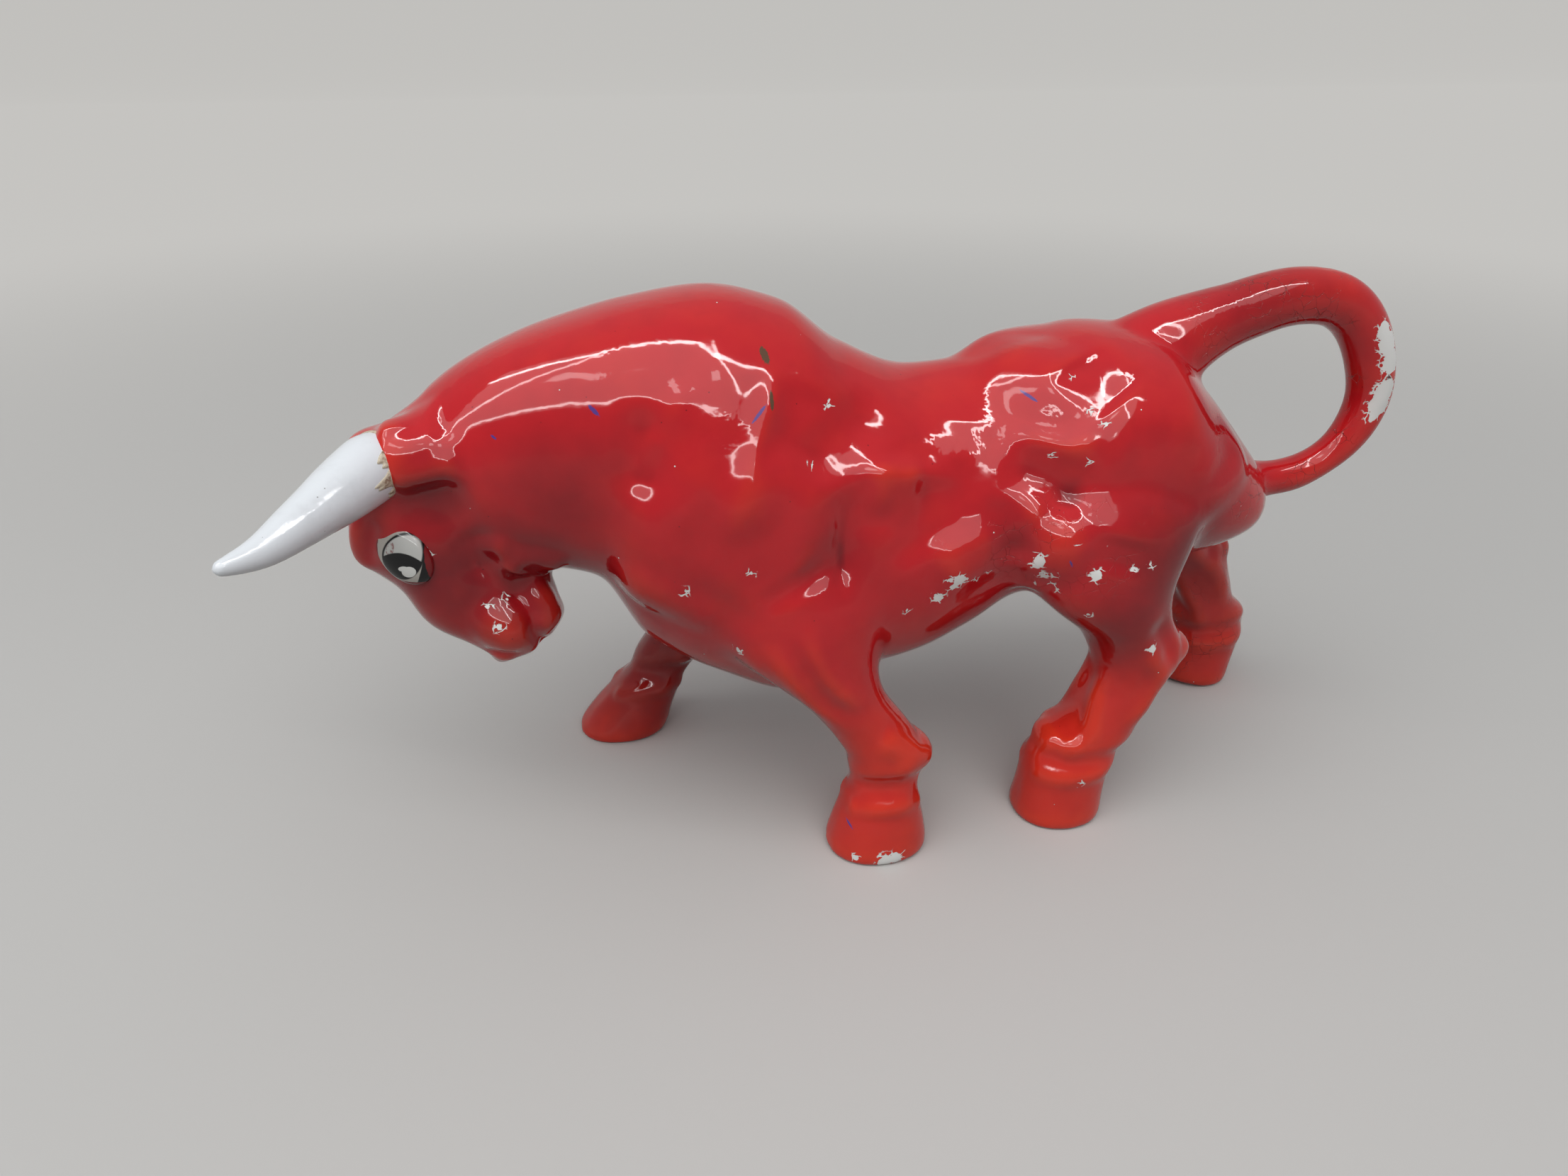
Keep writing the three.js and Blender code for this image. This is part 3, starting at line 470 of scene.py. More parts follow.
@dataclass
class Torso:
    """The hollow cast body from the neck to the buttocks."""

    # Place, top, bottom, half width, share of the height where it is widest, and power of the upper half.
    stations: tuple[Row, ...] = (
        (-137, 142, 116, 12, 0.5, 2),
        (-131, 149, 107, 20, 0.5, 2),
        (-118, 158.5, 99, 26, 0.5, 2.1),
        (-100, 166.5, 96, 31, 0.48, 2.3),
        (-84, 171.2, 92, 35, 0.45, 2.4),
        (-70, 174.5, 69, 39, 0.45, 2.4),
        (-46, 177.5, 53, 44, 0.45, 2.3),
        (-24, 172.5, 44, 45, 0.45, 2.2),
        (-6, 159.5, 50, 44, 0.45, 2.1),
        (18, 150.5, 56, 42, 0.46, 1.95),
        (34, 151.8, 63, 39.5, 0.48, 1.85),
        (48, 155.2, 72, 39, 0.5, 1.9),
        (74, 161, 78, 42, 0.55, 2.1),
        (92, 159, 80, 41, 0.5, 2.1),
        (111.5, 143, 83, 35, 0.45, 2),
        (128.5, 124, 88, 27, 0.42, 2),
        (138.5, 112, 93, 17, 0.42, 2),
        (142.5, 103, 98, 5, 0.42, 2),
    )
    sides: int = 96
    rings: int = 150

    def model(self, clay: bmesh.types.BMesh) -> None:
        """Lofts the body into the clay.

        Args:
            clay: The mesh that gets the body.
        """
        front, rear = self.stations[0][0], self.stations[-1][0]
        x = front + (rear - front) * crowded_ends(self.rings)
        top, bottom, half, widest, upper = Run(self.stations).at(x).T
        level = bottom + (top - bottom) * widest
        flat = section(self.sides, half, top - level, level - bottom, upper, 2.1)
        rings = np.empty((self.rings, self.sides, 3))
        rings[:, :, 0] = x[:, None]
        rings[:, :, 1] = flat[:, :, 0]
        rings[:, :, 2] = level[:, None] + flat[:, :, 1]
        loft(clay, rings)

    def strokes(self) -> list[Stroke]:
        """The muscles, on the left side and mirrored to the right.

        Returns:
            The strokes, in the bull's frame.
        """
        soft, sharp, flat = Touch.ROUND, Touch.SHARP, Touch.FLAT
        left = [
            Stroke(
                "hollow before the blade", 11, -2.4,
                ((-66, -32, 155), (-68, -35, 147), (-70, -36, 138), (-74, -36, 128)),
            ),
            Stroke(
                "front of the blade", 8, 1.6,
                ((-54, -29, 160), (-58, -33, 154), (-63, -35, 147), (-67, -37, 138)),
                sharp,
            ),
            Stroke("face of the blade", 13, 0.8, ((-46, -32, 158), (-49, -37, 148)), soft, 0),
            Stroke("lower end of the blade", 16, 2.6, ((-52, -41, 132), (-45, -43, 130)), soft, 0),
            Stroke(
                "rear edge of the blade", 8, 1.8,
                ((-36, -29, 164), (-32, -33, 159), (-34, -37, 151), (-39, -41, 141), (-43, -43, 130)),
                sharp,
            ),
            Stroke("dip behind the blade", 15, -1.7, ((-20, -28, 156), (-24, -36, 147), (-30, -40, 138))),
            Stroke(
                "diagonal hollow", 11, -2.4,
                ((4, -22, 145), (-13, -32, 141), (-22, -38, 135), (-30, -42, 130)),
            ),
            Stroke("upper arm", 22, 2.2, ((-32, -44, 122), (-38, -44, 112)), flat, 0),
            Stroke("point of the shoulder", 17, 3.0, ((-65, -39, 119), (-66, -39, 106)), soft, 0),
            Stroke("hollow before the ribs", 14, -2.2, ((-13, -38, 130), (-13, -42, 115), (-14, -44, 102))),
            Stroke(
                "crease before the ribs", 5, -2.8,
                ((-13, -39, 126), (-14, -42, 113), (-14, -44, 104), (-15, -46, 96)),
                sharp,
            ),
            Stroke("crease under the arm", 6, -1.6, ((-41, -45, 96), (-27, -46, 102), (-17, -45, 109))),
            Stroke(
                "edge of the chest", 10, 1.8,
                ((-80, -32, 108), (-72, -36, 102), (-60, -40, 94), (-48, -43, 88)),
            ),
            Stroke("face of the middle rib", 13, 2.0, ((-8, -39, 127), (2, -40, 127), (13, -37, 125))),
            Stroke(
                "edge of the middle rib", 7, 2.6,
                ((-12, -38, 131), (-2, -38, 132), (12, -37, 130), (27, -35, 126)),
                sharp,
            ),
            Stroke(
                "hollow of the ribs", 9, -1.9,
                ((35, -34, 128), (17, -37, 124), (-2, -41, 118), (-12, -42, 111)),
            ),
            Stroke("third hollow", 9, -1.8, ((34, -37, 118), (18, -39, 115), (6, -41, 110), (-4, -43, 102))),
            Stroke("belly muscle", 14, 2.4, ((38, -38, 109), (27, -40, 104), (14, -42, 97))),
            Stroke("fold of the hip", 6, 1.8, ((13, -22, 148), (25, -26, 144), (38, -30, 139)), sharp),
            Stroke("dome of the hip", 18, 3.6, ((47, -12, 155), (52, -19, 151)), soft, 0),
            Stroke(
                "dip behind the hip", 14, -2.2,
                ((62, -20, 156), (67, -27, 151), (72, -32, 146)),
                soft, 0.1,
            ),
            Stroke(
                "rim of the hip", 9, 2.8,
                ((38, -31, 139), (47, -34, 136), (56, -37, 135), (66, -38, 140)),
                sharp,
            ),
            Stroke(
                "throat", 8, 3,
                ((-115, -24, 116), (-109, -20, 106), (-102, -22, 107), (-92, -22, 104)),
                fade=0.15,
            ),
            Stroke(
                "jowl", 7, 2.4,
                ((-113, -21, 107), (-108, -18, 101), (-102, -18, 100), (-97, -18, 101)),
                fade=0.1,
            ),
            Stroke(
                "hollow under the hip", 11, -2.7,
                ((36, -33, 132), (46, -36, 127.5), (55, -39, 123), (64, -42, 118)),
            ),
            Stroke("flank fold", 9, -1.8, ((37, -34, 121), (38, -38, 110), (39, -37, 100))),
            Stroke("front of the thigh", 10, 2.4, ((44, -39, 106), (45, -38, 97), (49, -34, 88))),
            Stroke("knob of the thigh", 15, 4.2, ((45, -39, 111), (50, -44, 107)), soft, 0),
            Stroke("hollow of the ham", 14, -1.6, ((72, -49, 110), (68, -50, 98))),
            Stroke("hollow of the rump", 15, -1.6, ((66, -40, 131), (82, -41, 129), (100, -38, 120))),
            Stroke(
                "back edge of the thigh", 9, 1.3,
                ((109, -25, 137), (117, -28, 124), (102, -38, 113), (91, -46, 107)),
            ),
        ]
        return left + [stroke.moved(mirrored) for stroke in left]


@dataclass
class LegForm:
    """What both legs of a pair share: their shape and the strokes along them."""

    # Height, fore-and-aft length, and half width.
    stations: tuple[Row, ...]
    track: float
    strokes: tuple[Stroke, ...] = ()
    root_y: float = 29.0


FRONT = LegForm(
    (
        (0, 31.6, 13.55),
        (1.2, 34, 14.75),
        (9, 31, 13.75),
        (19, 25.5, 12),
        (25, 22.5, 10.5),
        (34, 26.5, 11.5),
        (44, 26, 11),
        (55, 27, 12),
        (66, 35, 14),
        (78, 47, 16),
        (94, 54, 17),
        (112, 40, 12),
    ),
    83,
    (
        Stroke(
            "coronet", 5, 1.9,
            ((-13, -8, 20), (-11, -11, 21), (0, -13, 21.5), (11, -11, 21), (13, -8, 20)),
            fade=0,
        ),
        Stroke("hollow over the hoof", 5, -1.4, ((-12, -8, 28), (0, -11, 29.5), (12, -8, 28)), fade=0),
        Stroke("fetlock at the back", 6, 2.2, ((13, -5, 36), (13, 5, 36)), fade=0),
        Stroke("fetlock at the side", 5, 1.0, ((3, -11, 35),), fade=0),
        Stroke("knee", 7, 1.6, ((4, -11, 44), (9, -9, 39)), fade=0),
        Stroke("outer tendon", 6, 1.8, ((-2, -14, 92), (1, -13.5, 74), (3, -12, 57))),
        Stroke("inner edge", 6, 1.5, ((-13, -12, 87), (-8, -13, 68), (-6, -10, 50))),
        Stroke("hollow between the tendons", 5, -1.6, ((-6, -14, 86), (-3, -13, 68), (-1, -12, 54))),
        Stroke("toe groove", 2.4, -0.7, ((-16, 0, 2), (-14, 0, 10), (-12, 0, 17)), Touch.SHARP, 0.2),
    ),
)
REAR = LegForm(
    (
        (0, 28.6, 13.55),
        (1.2, 31, 14.75),
        (10, 30, 13.75),
        (21, 30, 13),
        (30, 32, 12.5),
        (39, 24.5, 11.5),
        (50, 24.5, 11.5),
        (57, 30, 12.5),
        (65, 33, 14),
        (71, 33, 15.5),
        (79, 40, 17.5),
        (90, 50, 19.5),
        (106, 61, 19.5),
        (122, 47, 13.5),
    ),
    72,
    (
        Stroke(
            "coronet", 4.5, 1.3,
            ((-15, -8, 20), (-12, -11, 20), (0, -13.5, 20.5), (12, -11, 21), (15, -8, 21)),
            fade=0,
        ),
        Stroke("hollow over the hoof", 4.5, -1.0, ((-14, -8, 26.5), (0, -12.5, 27), (14, -8, 27)), fade=0),
        Stroke("fetlock at the front", 6, 1.6, ((-15, -4, 32), (-15, 4, 32)), fade=0),
        Stroke("hock point", 7, 2.6, ((15, -3, 62), (15, 3, 62)), fade=0),
        Stroke("hollow before the hock tendon", 6, -2.0, ((6, -12, 58), (7, -13, 68), (8, -15, 80))),
        Stroke("shin", 5.5, 2.2, ((-5, -12, 31), (-8, -11, 36), (-10, -8, 42), (-11, -6, 49), (-12, -7, 60))),
        Stroke("tendon at the hock", 6, 1.6, ((4, -12.5, 36), (5, -12, 46), (3, -13, 58), (-1, -15, 70))),
        Stroke("fetlock at the side", 6, 1.5, ((-9, -10, 31),), fade=0),
        Stroke("toe groove", 2.4, -0.7, ((-15, 0, 2), (-14, 0, 10), (-13.5, 0, 17)), Touch.SHARP, 0.2),
    ),
)


@dataclass
class Leg:
    """One leg with its hoof, from the sole to its root in the body."""

    node: str
    side: Side
    form: LegForm
    # Height and place of the leg's middle.
    line: tuple[Row, ...]
    sides: int = 56
    rings: int = 90
    power: float = 2.2
    room_power: float = 2.4

    def middle(self, z: np.ndarray) -> np.ndarray:
        """The middle of the leg at some heights.

        Args:
            z: The heights.

        Returns:
            Its place lengthways and sideways at each height.
        """
        top = self.form.stations[-1][0]
        rise = np.clip(np.asarray(z, float) / top, 0, 1) ** 2
        y = self.side.value * (self.form.track / 2 * (1 - rise) + self.form.root_y * rise)
        return np.stack([Run(self.line).at(z)[:, 0], y], axis=1)

    def size(self, z: np.ndarray) -> np.ndarray:
        """Half the length and the half width at some heights."""
        return Run(self.form.stations).at(z) * np.array([0.5, 1.0])

    def model(self, clay: bmesh.types.BMesh) -> None:
        """Lofts the leg into the clay.

        Args:
            clay: The mesh that gets the leg.
        """
        z = np.linspace(0, 1, self.rings) ** 1.15 * self.form.stations[-1][0]
        reach, half = self.size(z).T
        middle = self.middle(z)
        flat = section(self.sides, reach, half, half, np.full(self.rings, self.power), self.power)
        rings = np.empty((self.rings, self.sides, 3))
        rings[:, :, :2] = middle[:, None, :] + flat
        rings[:, :, 2] = z[:, None]
        loft(clay, rings)

    def beside(self, path: np.ndarray, face: int) -> np.ndarray:
        """Lays a path on the leg.

        Args:
            path: Places fore and aft of the leg's middle, inwards of it, and in height.
            face: 1 for the leg's outer face, and -1 for its inner one.

        Returns:
            The path in the bull's frame.
        """
        middle = self.middle(path[:, 2])
        y = middle[:, 1] - face * self.side.value * path[:, 1]
        return np.column_stack([middle[:, 0] + path[:, 0], y, path[:, 2]])

    def strokes(self) -> list[Stroke]:
        """The pair's strokes round this leg, on its outer and its inner face.

        Returns:
            The strokes, in the bull's frame.
        """
        made = [stroke.moved(lambda path: self.beside(path, 1)) for stroke in self.form.strokes]
        for stroke in self.form.strokes:
            sideways = [place[1] for place in stroke.path]
            if any(sideways) and not min(sideways) < 0 <= max(sideways):
                made.append(stroke.moved(lambda path: self.beside(path, -1)))
        return made

    def within(self, points: np.ndarray, grow: float, top: float) -> np.ndarray:
        """Tells how far inside the leg's own room points lie.

        Args:
            points: Places in the bull's frame.
            grow: How far the room stands off the leg's surface.
            top: The height at which the room closes.

        Returns:
            A number for each point, over 0 inside.
        """
        z = points[:, 2]
        reach, half = (self.size(z) + grow).T
        dome = np.sqrt(np.clip(1 - np.clip((z - top * 0.7) / (top * 0.3), 0, 1) ** 2, 1e-4, 1))
        away = np.abs(points[:, :2] - self.middle(z)) / (np.stack([reach, half], axis=1) * dome[:, None])
        return np.where(z < top, 1 - (away**self.room_power).sum(1) ** (1 / self.room_power), -1.0)


@dataclass
class Head:
    """The head, in its own frame: down the face, out to its right side, and out of the forehead."""

    poll: Point = (-138, 3, 132)
    drop: float = 60
    turn: float = 7
    tilt: float = 20
    length: float = 71
    # Down the face, out to the face, back to the jaw, and half width.
    stations: tuple[Row, ...] = (
        (-9.5, 5, 14, 10),
        (-7.5, 11.5, 20, 17),
        (-2, 17, 25, 22),
        (8, 26, 27, 24),
        (18, 29.7, 25, 23),
        (25, 28, 23, 22),
        (32, 25.4, 18.5, 19.8),
        (42, 27, 15.3, 17.3),
        (50, 25, 13, 15.5),
        (56, 21, 12.4, 15.5),
        (60, 19.5, 12, 15.5),
        (67.5, 16.5, 6.5, 12.5),
        (71, 10, 1.5, 5.5),
    )
    sides: int = 72
    rings: int = 90
    power: float = 2.3
    # How far the head's own room reaches past the nose.
    room_past_nose: float = 9

    def matrix(self) -> np.ndarray:
        """Turns places in the head's frame into the bull's frame.

        Returns:
            The four by four matrix.
        """
        turned = (
            Matrix.Translation(self.poll)
            @ Matrix.Rotation(math.radians(self.turn), 4, "Z")
            @ Matrix.Rotation(-math.radians(self.tilt), 4, "X")
            @ Matrix.Rotation(math.radians(self.drop), 4, "Y")
            @ Matrix.Diagonal((1, 1, -1, 1))
        )
        return np.array(turned)

    def place(self, local: np.ndarray) -> np.ndarray:
        """Places in the head's frame as places in the bull's frame."""
        matrix = self.matrix()
        return np.asarray(local, float) @ matrix[:3, :3].T + matrix[:3, 3]

    def local(self, points: np.ndarray) -> np.ndarray:
        """Places in the bull's frame as places in the head's frame."""
        back = np.linalg.inv(self.matrix())
        return np.asarray(points, float) @ back[:3, :3].T + back[:3, 3]

    def shape(self, down: np.ndarray) -> tuple[np.ndarray, np.ndarray, np.ndarray]:
        """Level, depth and half width of the head's sections."""
        face, jaw, half = Run(self.stations).at(down).T
        return (face - jaw) / 2, (face + jaw) / 2, half

    def half_at(self, down: float, out: float) -> float:
        """Half width of the head at a place down the face and out from its axis."""
        level, depth, half = (float(v[0]) for v in self.shape(np.array([down])))
        return half * (1 - (abs(out - level) / depth) ** self.power) ** (1 / self.power)

    def model(self, clay: bmesh.types.BMesh) -> None:
        """Lofts the head into the clay.

        Args:
            clay: The mesh that gets the head.
        """
        start = self.stations[0][0]
        down = start + (self.length - start) * crowded_ends(self.rings)
        level, depth, half = self.shape(down)
        flat = section(self.sides, half, depth, depth, np.full(self.rings, self.power), 2.0)
        local = np.empty((self.rings, self.sides, 3))
        local[:, :, 0] = down[:, None]
        local[:, :, 1] = flat[:, :, 0]
        local[:, :, 2] = level[:, None] + flat[:, :, 1]
        loft(clay, self.place(local.reshape(-1, 3)).reshape(local.shape))

    def strokes(self) -> list[Stroke]:
        """The face's forms, given on its left side and mirrored to its right.

        Returns:
            The strokes, in the bull's frame.
        """
        left = [
            Stroke("root of the horn", 13, 4.6, ((-8, -12, 9), (-5, -18, 7), (0, -21, 1)), Touch.ROUND, 0),
            Stroke("brow ridge", 6, 1.8, ((7, -17, 20), (12, -12, 25.5), (17, -8, 28.5), (24, -8, 28))),
            Stroke(
                "shelf behind the horn", 12, 2.8,
                ((-2, -19, 1), (-1, -22, -7), (2, -25, -14)),
                Touch.ROUND, 0.15,
            ),
            Stroke(
                "fold beside the brow", 4.5, -2.4,
                ((11, -19.5, 16.5), (13, -18.8, 20), (15.5, -17, 23.5), (18, -15, 26), (22, -12, 27.6)),
                Touch.SHARP,
            ),
            Stroke(
                "edge of the ear", 6.5, 2.2,
                ((6, -25, 7), (8.5, -28, 3), (11, -29.5, -5), (13, -31, -12)),
                Touch.ROUND, 0.2,
            ),
            Stroke(
                "hollow under the ear", 13, -1.8,
                ((9, -23, 11), (14, -23, 5), (18, -25, -2), (20.5, -28, -10)),
            ),
            Stroke(
                "cheek bone", 6, 0.7,
                ((22, -21.5, 6.8), (27, -21, 6), (33.5, -20, 6),
                 (39, -19, 9.3), (43.5, -17, 13), (48, -15, 13.8)),
            ),
            Stroke("hollow of the cheek", 9, -2.0, ((27, -21, -1), (36, -19, 0.5), (44, -17, 5))),
            Stroke(
                "ridge of the jaw", 5.5, 1.4,
                ((28, -28, -16), (33, -22, -12), (39, -20, -8), (44.5, -19, -6), (50, -16, -4)),
            ),
            Stroke("muzzle", 11, 3.7, ((57.5, -15.5, 9.6), (59.5, -15.2, 8.2)), Touch.ROUND, 0),
            Stroke(
                "crease between the lips", 4.5, -3.0,
                ((51, -16, 1), (53.5, -16, -1.4), (58.7, -16, -1), (64.5, -13.8, 2.4),
                 (68.5, -11, 2.5), (71, -6, 2.3), (71.4, -1, 2.3)),
                Touch.SHARP, 0.06,
            ),
            Stroke("lower lip", 7.5, 2.4, ((58, -11.5, -5.5), (63.5, -10, -3.8)), Touch.ROUND, 0),
            Stroke("chin", 7, 1.4, ((65.5, -3, -6),), Touch.ROUND, 0),
            Stroke(
                "edge of the nostril", 2.8, -1.4,
                ((61, -4, 17.8), (62.5, -8, 16), (65.5, -10.5, 12.8), (67.5, -9.5, 9.5)),
                Touch.SHARP,
            ),
            Stroke("tip of the nose", 5, 1.1, ((66.5, -6, 15), (67, -1, 16)), Touch.ROUND, 0),
        ]
        right = [stroke.moved(mirrored) for stroke in left]
        return [stroke.moved(self.place) for stroke in left + right]

    def within(self, points: np.ndarray, grow: float) -> np.ndarray:
        """Tells how far inside the head's own room points lie, over 0 inside.

        Args:
            points: Places in the bull's frame, one row each.
            grow: How far the room stands off the head's surface.

        Returns:
            A number for each point, over 0 inside.
        """
        local = self.local(points)
        level, depth, half = self.shape(local[:, 0])
        out = np.abs(local[:, 2] - level) / (depth + grow)
        side = np.abs(local[:, 1]) / (half + grow)
        after_poll = local[:, 0] - self.stations[0][0] + grow
        before_end = self.length + self.room_past_nose - local[:, 0]
        across = 1 - (out**self.power + side**self.power) ** (1 / self.power)
        return np.minimum(across, np.minimum(after_poll, before_end) / 10)


@dataclass
class Ear:
    """A pressed lobe behind a horn, laid back along the neck."""

    side: Side
    head: Head
    head_half: float = 24
    length: float = 32
    half_width: float = 6.4
    flatness: float = 0.62
    proud: float = 3
    sides: int = 24
    rings: int = 40

    def line(self) -> np.ndarray:
        """The lobe's middle, in the bull's frame.

        Returns:
            The points of its middle.
        """
        outside = self.head_half + self.proud
        sign = self.side.value
        local = [
            (4, sign * (outside - 6), 0.3 * self.length),
            (5, sign * (outside + 2), -0.1 * self.length),
            (10, sign * (outside + 2), -0.7 * self.length),
        ]
        return bezier(self.head.place(np.array(local)), self.rings)

    def radii(self) -> np.ndarray:
        """The lobe's radius along its middle."""
        taper = Run(((0, 0.55), (0.35, 1), (0.7, 0.75), (1, 0.15)))
        return taper.at(np.linspace(0, 1, self.rings))[:, 0] * self.half_width

    def model(self, clay: bmesh.types.BMesh) -> None:
        """Lofts the lobe into the clay."""
        across = self.head.matrix()[:3, 0]
        tube(clay, self.line(), self.radii(), self.sides, across, self.flatness)

    def within(self, points: np.ndarray, grow: float) -> np.ndarray:
        """Tells how far inside the ear's own room points lie, over 0 inside.

        Args:
            points: Places in the bull's frame, one row each.
            grow: How far the room stands off the lobe's surface.

        Returns:
            A number for each point, over 0 inside.
        """
        line, radii = self.line(), self.radii()
        gap = np.linalg.norm(points[:, None, :] - line[None, ::4, :], axis=2) - radii[None, ::4]
        return (grow - gap.min(1)) / 10


@dataclass
class Tail:
    """The rolled tail: one round loop from the rump to the buttocks."""

    centre_x: float = 148.8
    centre_height: float = 134
    coil_height: float = 33
    coil_reach: float = 31.4
    # Share of the length, and radius.
    taper: tuple[Row, ...] = (
        (0, 13.8),
        (0.12, 13.8),
        (0.24, 10.1),
        (0.36, 9.2),
        (0.56, 8),
        (0.68, 6.8),
        (0.77, 5.8),
        (0.86, 6.8),
        (1, 9.8),
    )
    # Where the seams lie lengthways: the root's at a height, and the tip's. One height parts the two.
    root_seam: tuple[float, float] = (112, 158)
    tip_seam: float = 145.6
    seams_part: float = 128
    sides: int = 44
    rings: int = 170

    def on_coil(self, degrees: float, share: float = 1.0) -> Point:
        """Finds a place on the coil.

        Args:
            degrees: The angle round the coil, from the rear and upwards.
            share: The place's distance from the coil's centre over the coil's own.

        Returns:
            The place in the bull's frame.
        """
        angle = math.radians(degrees)
        x = self.centre_x + share * self.coil_reach * math.cos(angle)
        return (x, 0.0, self.centre_height + share * self.coil_height * math.sin(angle))

    def line(self) -> np.ndarray:
        """The tail's middle.

        Returns:
            The points of its middle, in the bull's frame.
        """
        points = [
            (82, 0, 145),
            (101, 0, 153),
            (self.centre_x - 29, 0, 160.5),
            self.on_coil(100),
            self.on_coil(68, 0.98),
            self.on_coil(38, 0.95),
            self.on_coil(-5),
            self.on_coil(-35),
            (self.centre_x + 11, 0, 105),
            (138.5, 0, 103),
            (124.5, 0, 105),
        ]
        return spline(points, self.rings)

    def model(self, clay: bmesh.types.BMesh) -> None:
        """Lofts the tail into the clay."""
        radii = Run(self.taper).at(np.linspace(0, 1, self.rings))[:, 0]
        tube(clay, self.line(), radii, self.sides)

    def within(self, points: np.ndarray) -> np.ndarray:
        """Tells on which side of its two seams points lie, over 0 on the tail's side.

        Args:
            points: Places in the bull's frame, one row each.

        Returns:
            A number for each point, over 0 on the tail's side.
        """
        x, z = points[:, 0], points[:, 2]
        root = ((x - self.root_seam[0]) * 0.82 + (z - self.root_seam[1]) * 0.57) / 10
        tip = (x - self.tip_seam) / 10
        return np.where(z > self.seams_part, root, tip)


@dataclass
class Sheath:
    """The small lug under the belly."""

    torso: Torso
    x: float = 53
    length: float = 22
    radius: float = 6.5
    drop: float = 4
    sides: int = 24
    rings: int = 30

    def line(self) -> np.ndarray:
        """The lug's middle.

        Returns:
            The points of its middle, in the bull's frame.
        """
        x = np.linspace(self.x - self.length / 2, self.x + self.length / 2, self.rings)
        belly = Run(self.torso.stations).at(x)[:, 1]
        return np.column_stack([x, np.zeros(self.rings), belly - np.linspace(self.drop, 0, self.rings)])

    def model(self, clay: bmesh.types.BMesh) -> None:
        """Lofts the lug into the clay."""
        t = np.linspace(-1, 1, self.rings)
        tube(clay, self.line(), self.radius * np.sqrt(np.clip(1 - t**2, 0.02, 1)), self.sides)

    def within(self, points: np.ndarray) -> np.ndarray:
        """Tells how far inside the lug's own room points lie, over 0 inside."""
        gap = np.linalg.norm(points[:, None, :] - self.line()[None, 4:26:3, :], axis=2)
        return (self.radius + 1 - gap.min(1)) / 10


@dataclass(frozen=True)
class Chip:
    """A place where the glaze has flaked off down to the white body."""

    x: float
    z: float
    radius: float
    side: Side = Side.LEFT

    def on(self, points: np.ndarray) -> np.ndarray:
        """The outermost of the skin's points at the chip's place, seen from its side.

        Args:
            points: The skin's points, one row each.

        Returns:
            That point.
        """
        gap = np.hypot(points[:, 0] - self.x, points[:, 2] - self.z)
        near = np.flatnonzero(gap < gap.min() + 1.2)
        return points[near[(points[near, 1] * self.side.value).argmax()]]


@dataclass(frozen=True)
class ShadeWash:
    """A place round which the glaze is painted dark: painted shade, partly standing for a darker maroon of
    the glaze itself.
    """

    middle: Point
    reach: float
    strength: float

    def at(self, points: np.ndarray) -> np.ndarray:
        """How much painted shade darkens the glaze at some points, from 0 to 1."""
        away = np.linalg.norm(points - np.array(self.middle), axis=1) / self.reach
        return self.strength * np.exp(-(away**2) / 1.5)


class Ink(Enum):
    """What left a mark, as its colour."""

    BLUE = (0.03, 0.05, 0.30, 1)
    SKY = (0.05, 0.28, 0.62, 1)
    GREEN = (0.045, 0.07, 0.035, 1)
    BLACK = (0.03, 0.03, 0.025, 1)


@dataclass(frozen=True)
class Mark:
    """A short dab of pen or soot on the glaze."""

    start: Point
    end: Point
    half_width: float = 0.45
    ink: Ink = Ink.BLUE

    def frame(self) -> tuple[Vector, Euler, Vector]:
        """The dab's middle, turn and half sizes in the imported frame, in metres.

        Returns:
            The middle, the turn and the half sizes.
        """
        start, end = Vector(self.start), Vector(self.end)
        along = (end - start).normalized()
        up = along.cross(Vector((0, 1, 0))).normalized()
        turn = Matrix((along, up.cross(along), up)).transposed().to_euler()
        half = Vector(((end - start).length / 2 + self.half_width, 3.0, self.half_width))
        return ((start + end) / 2 + SHIFT) * MM, turn, half * MM


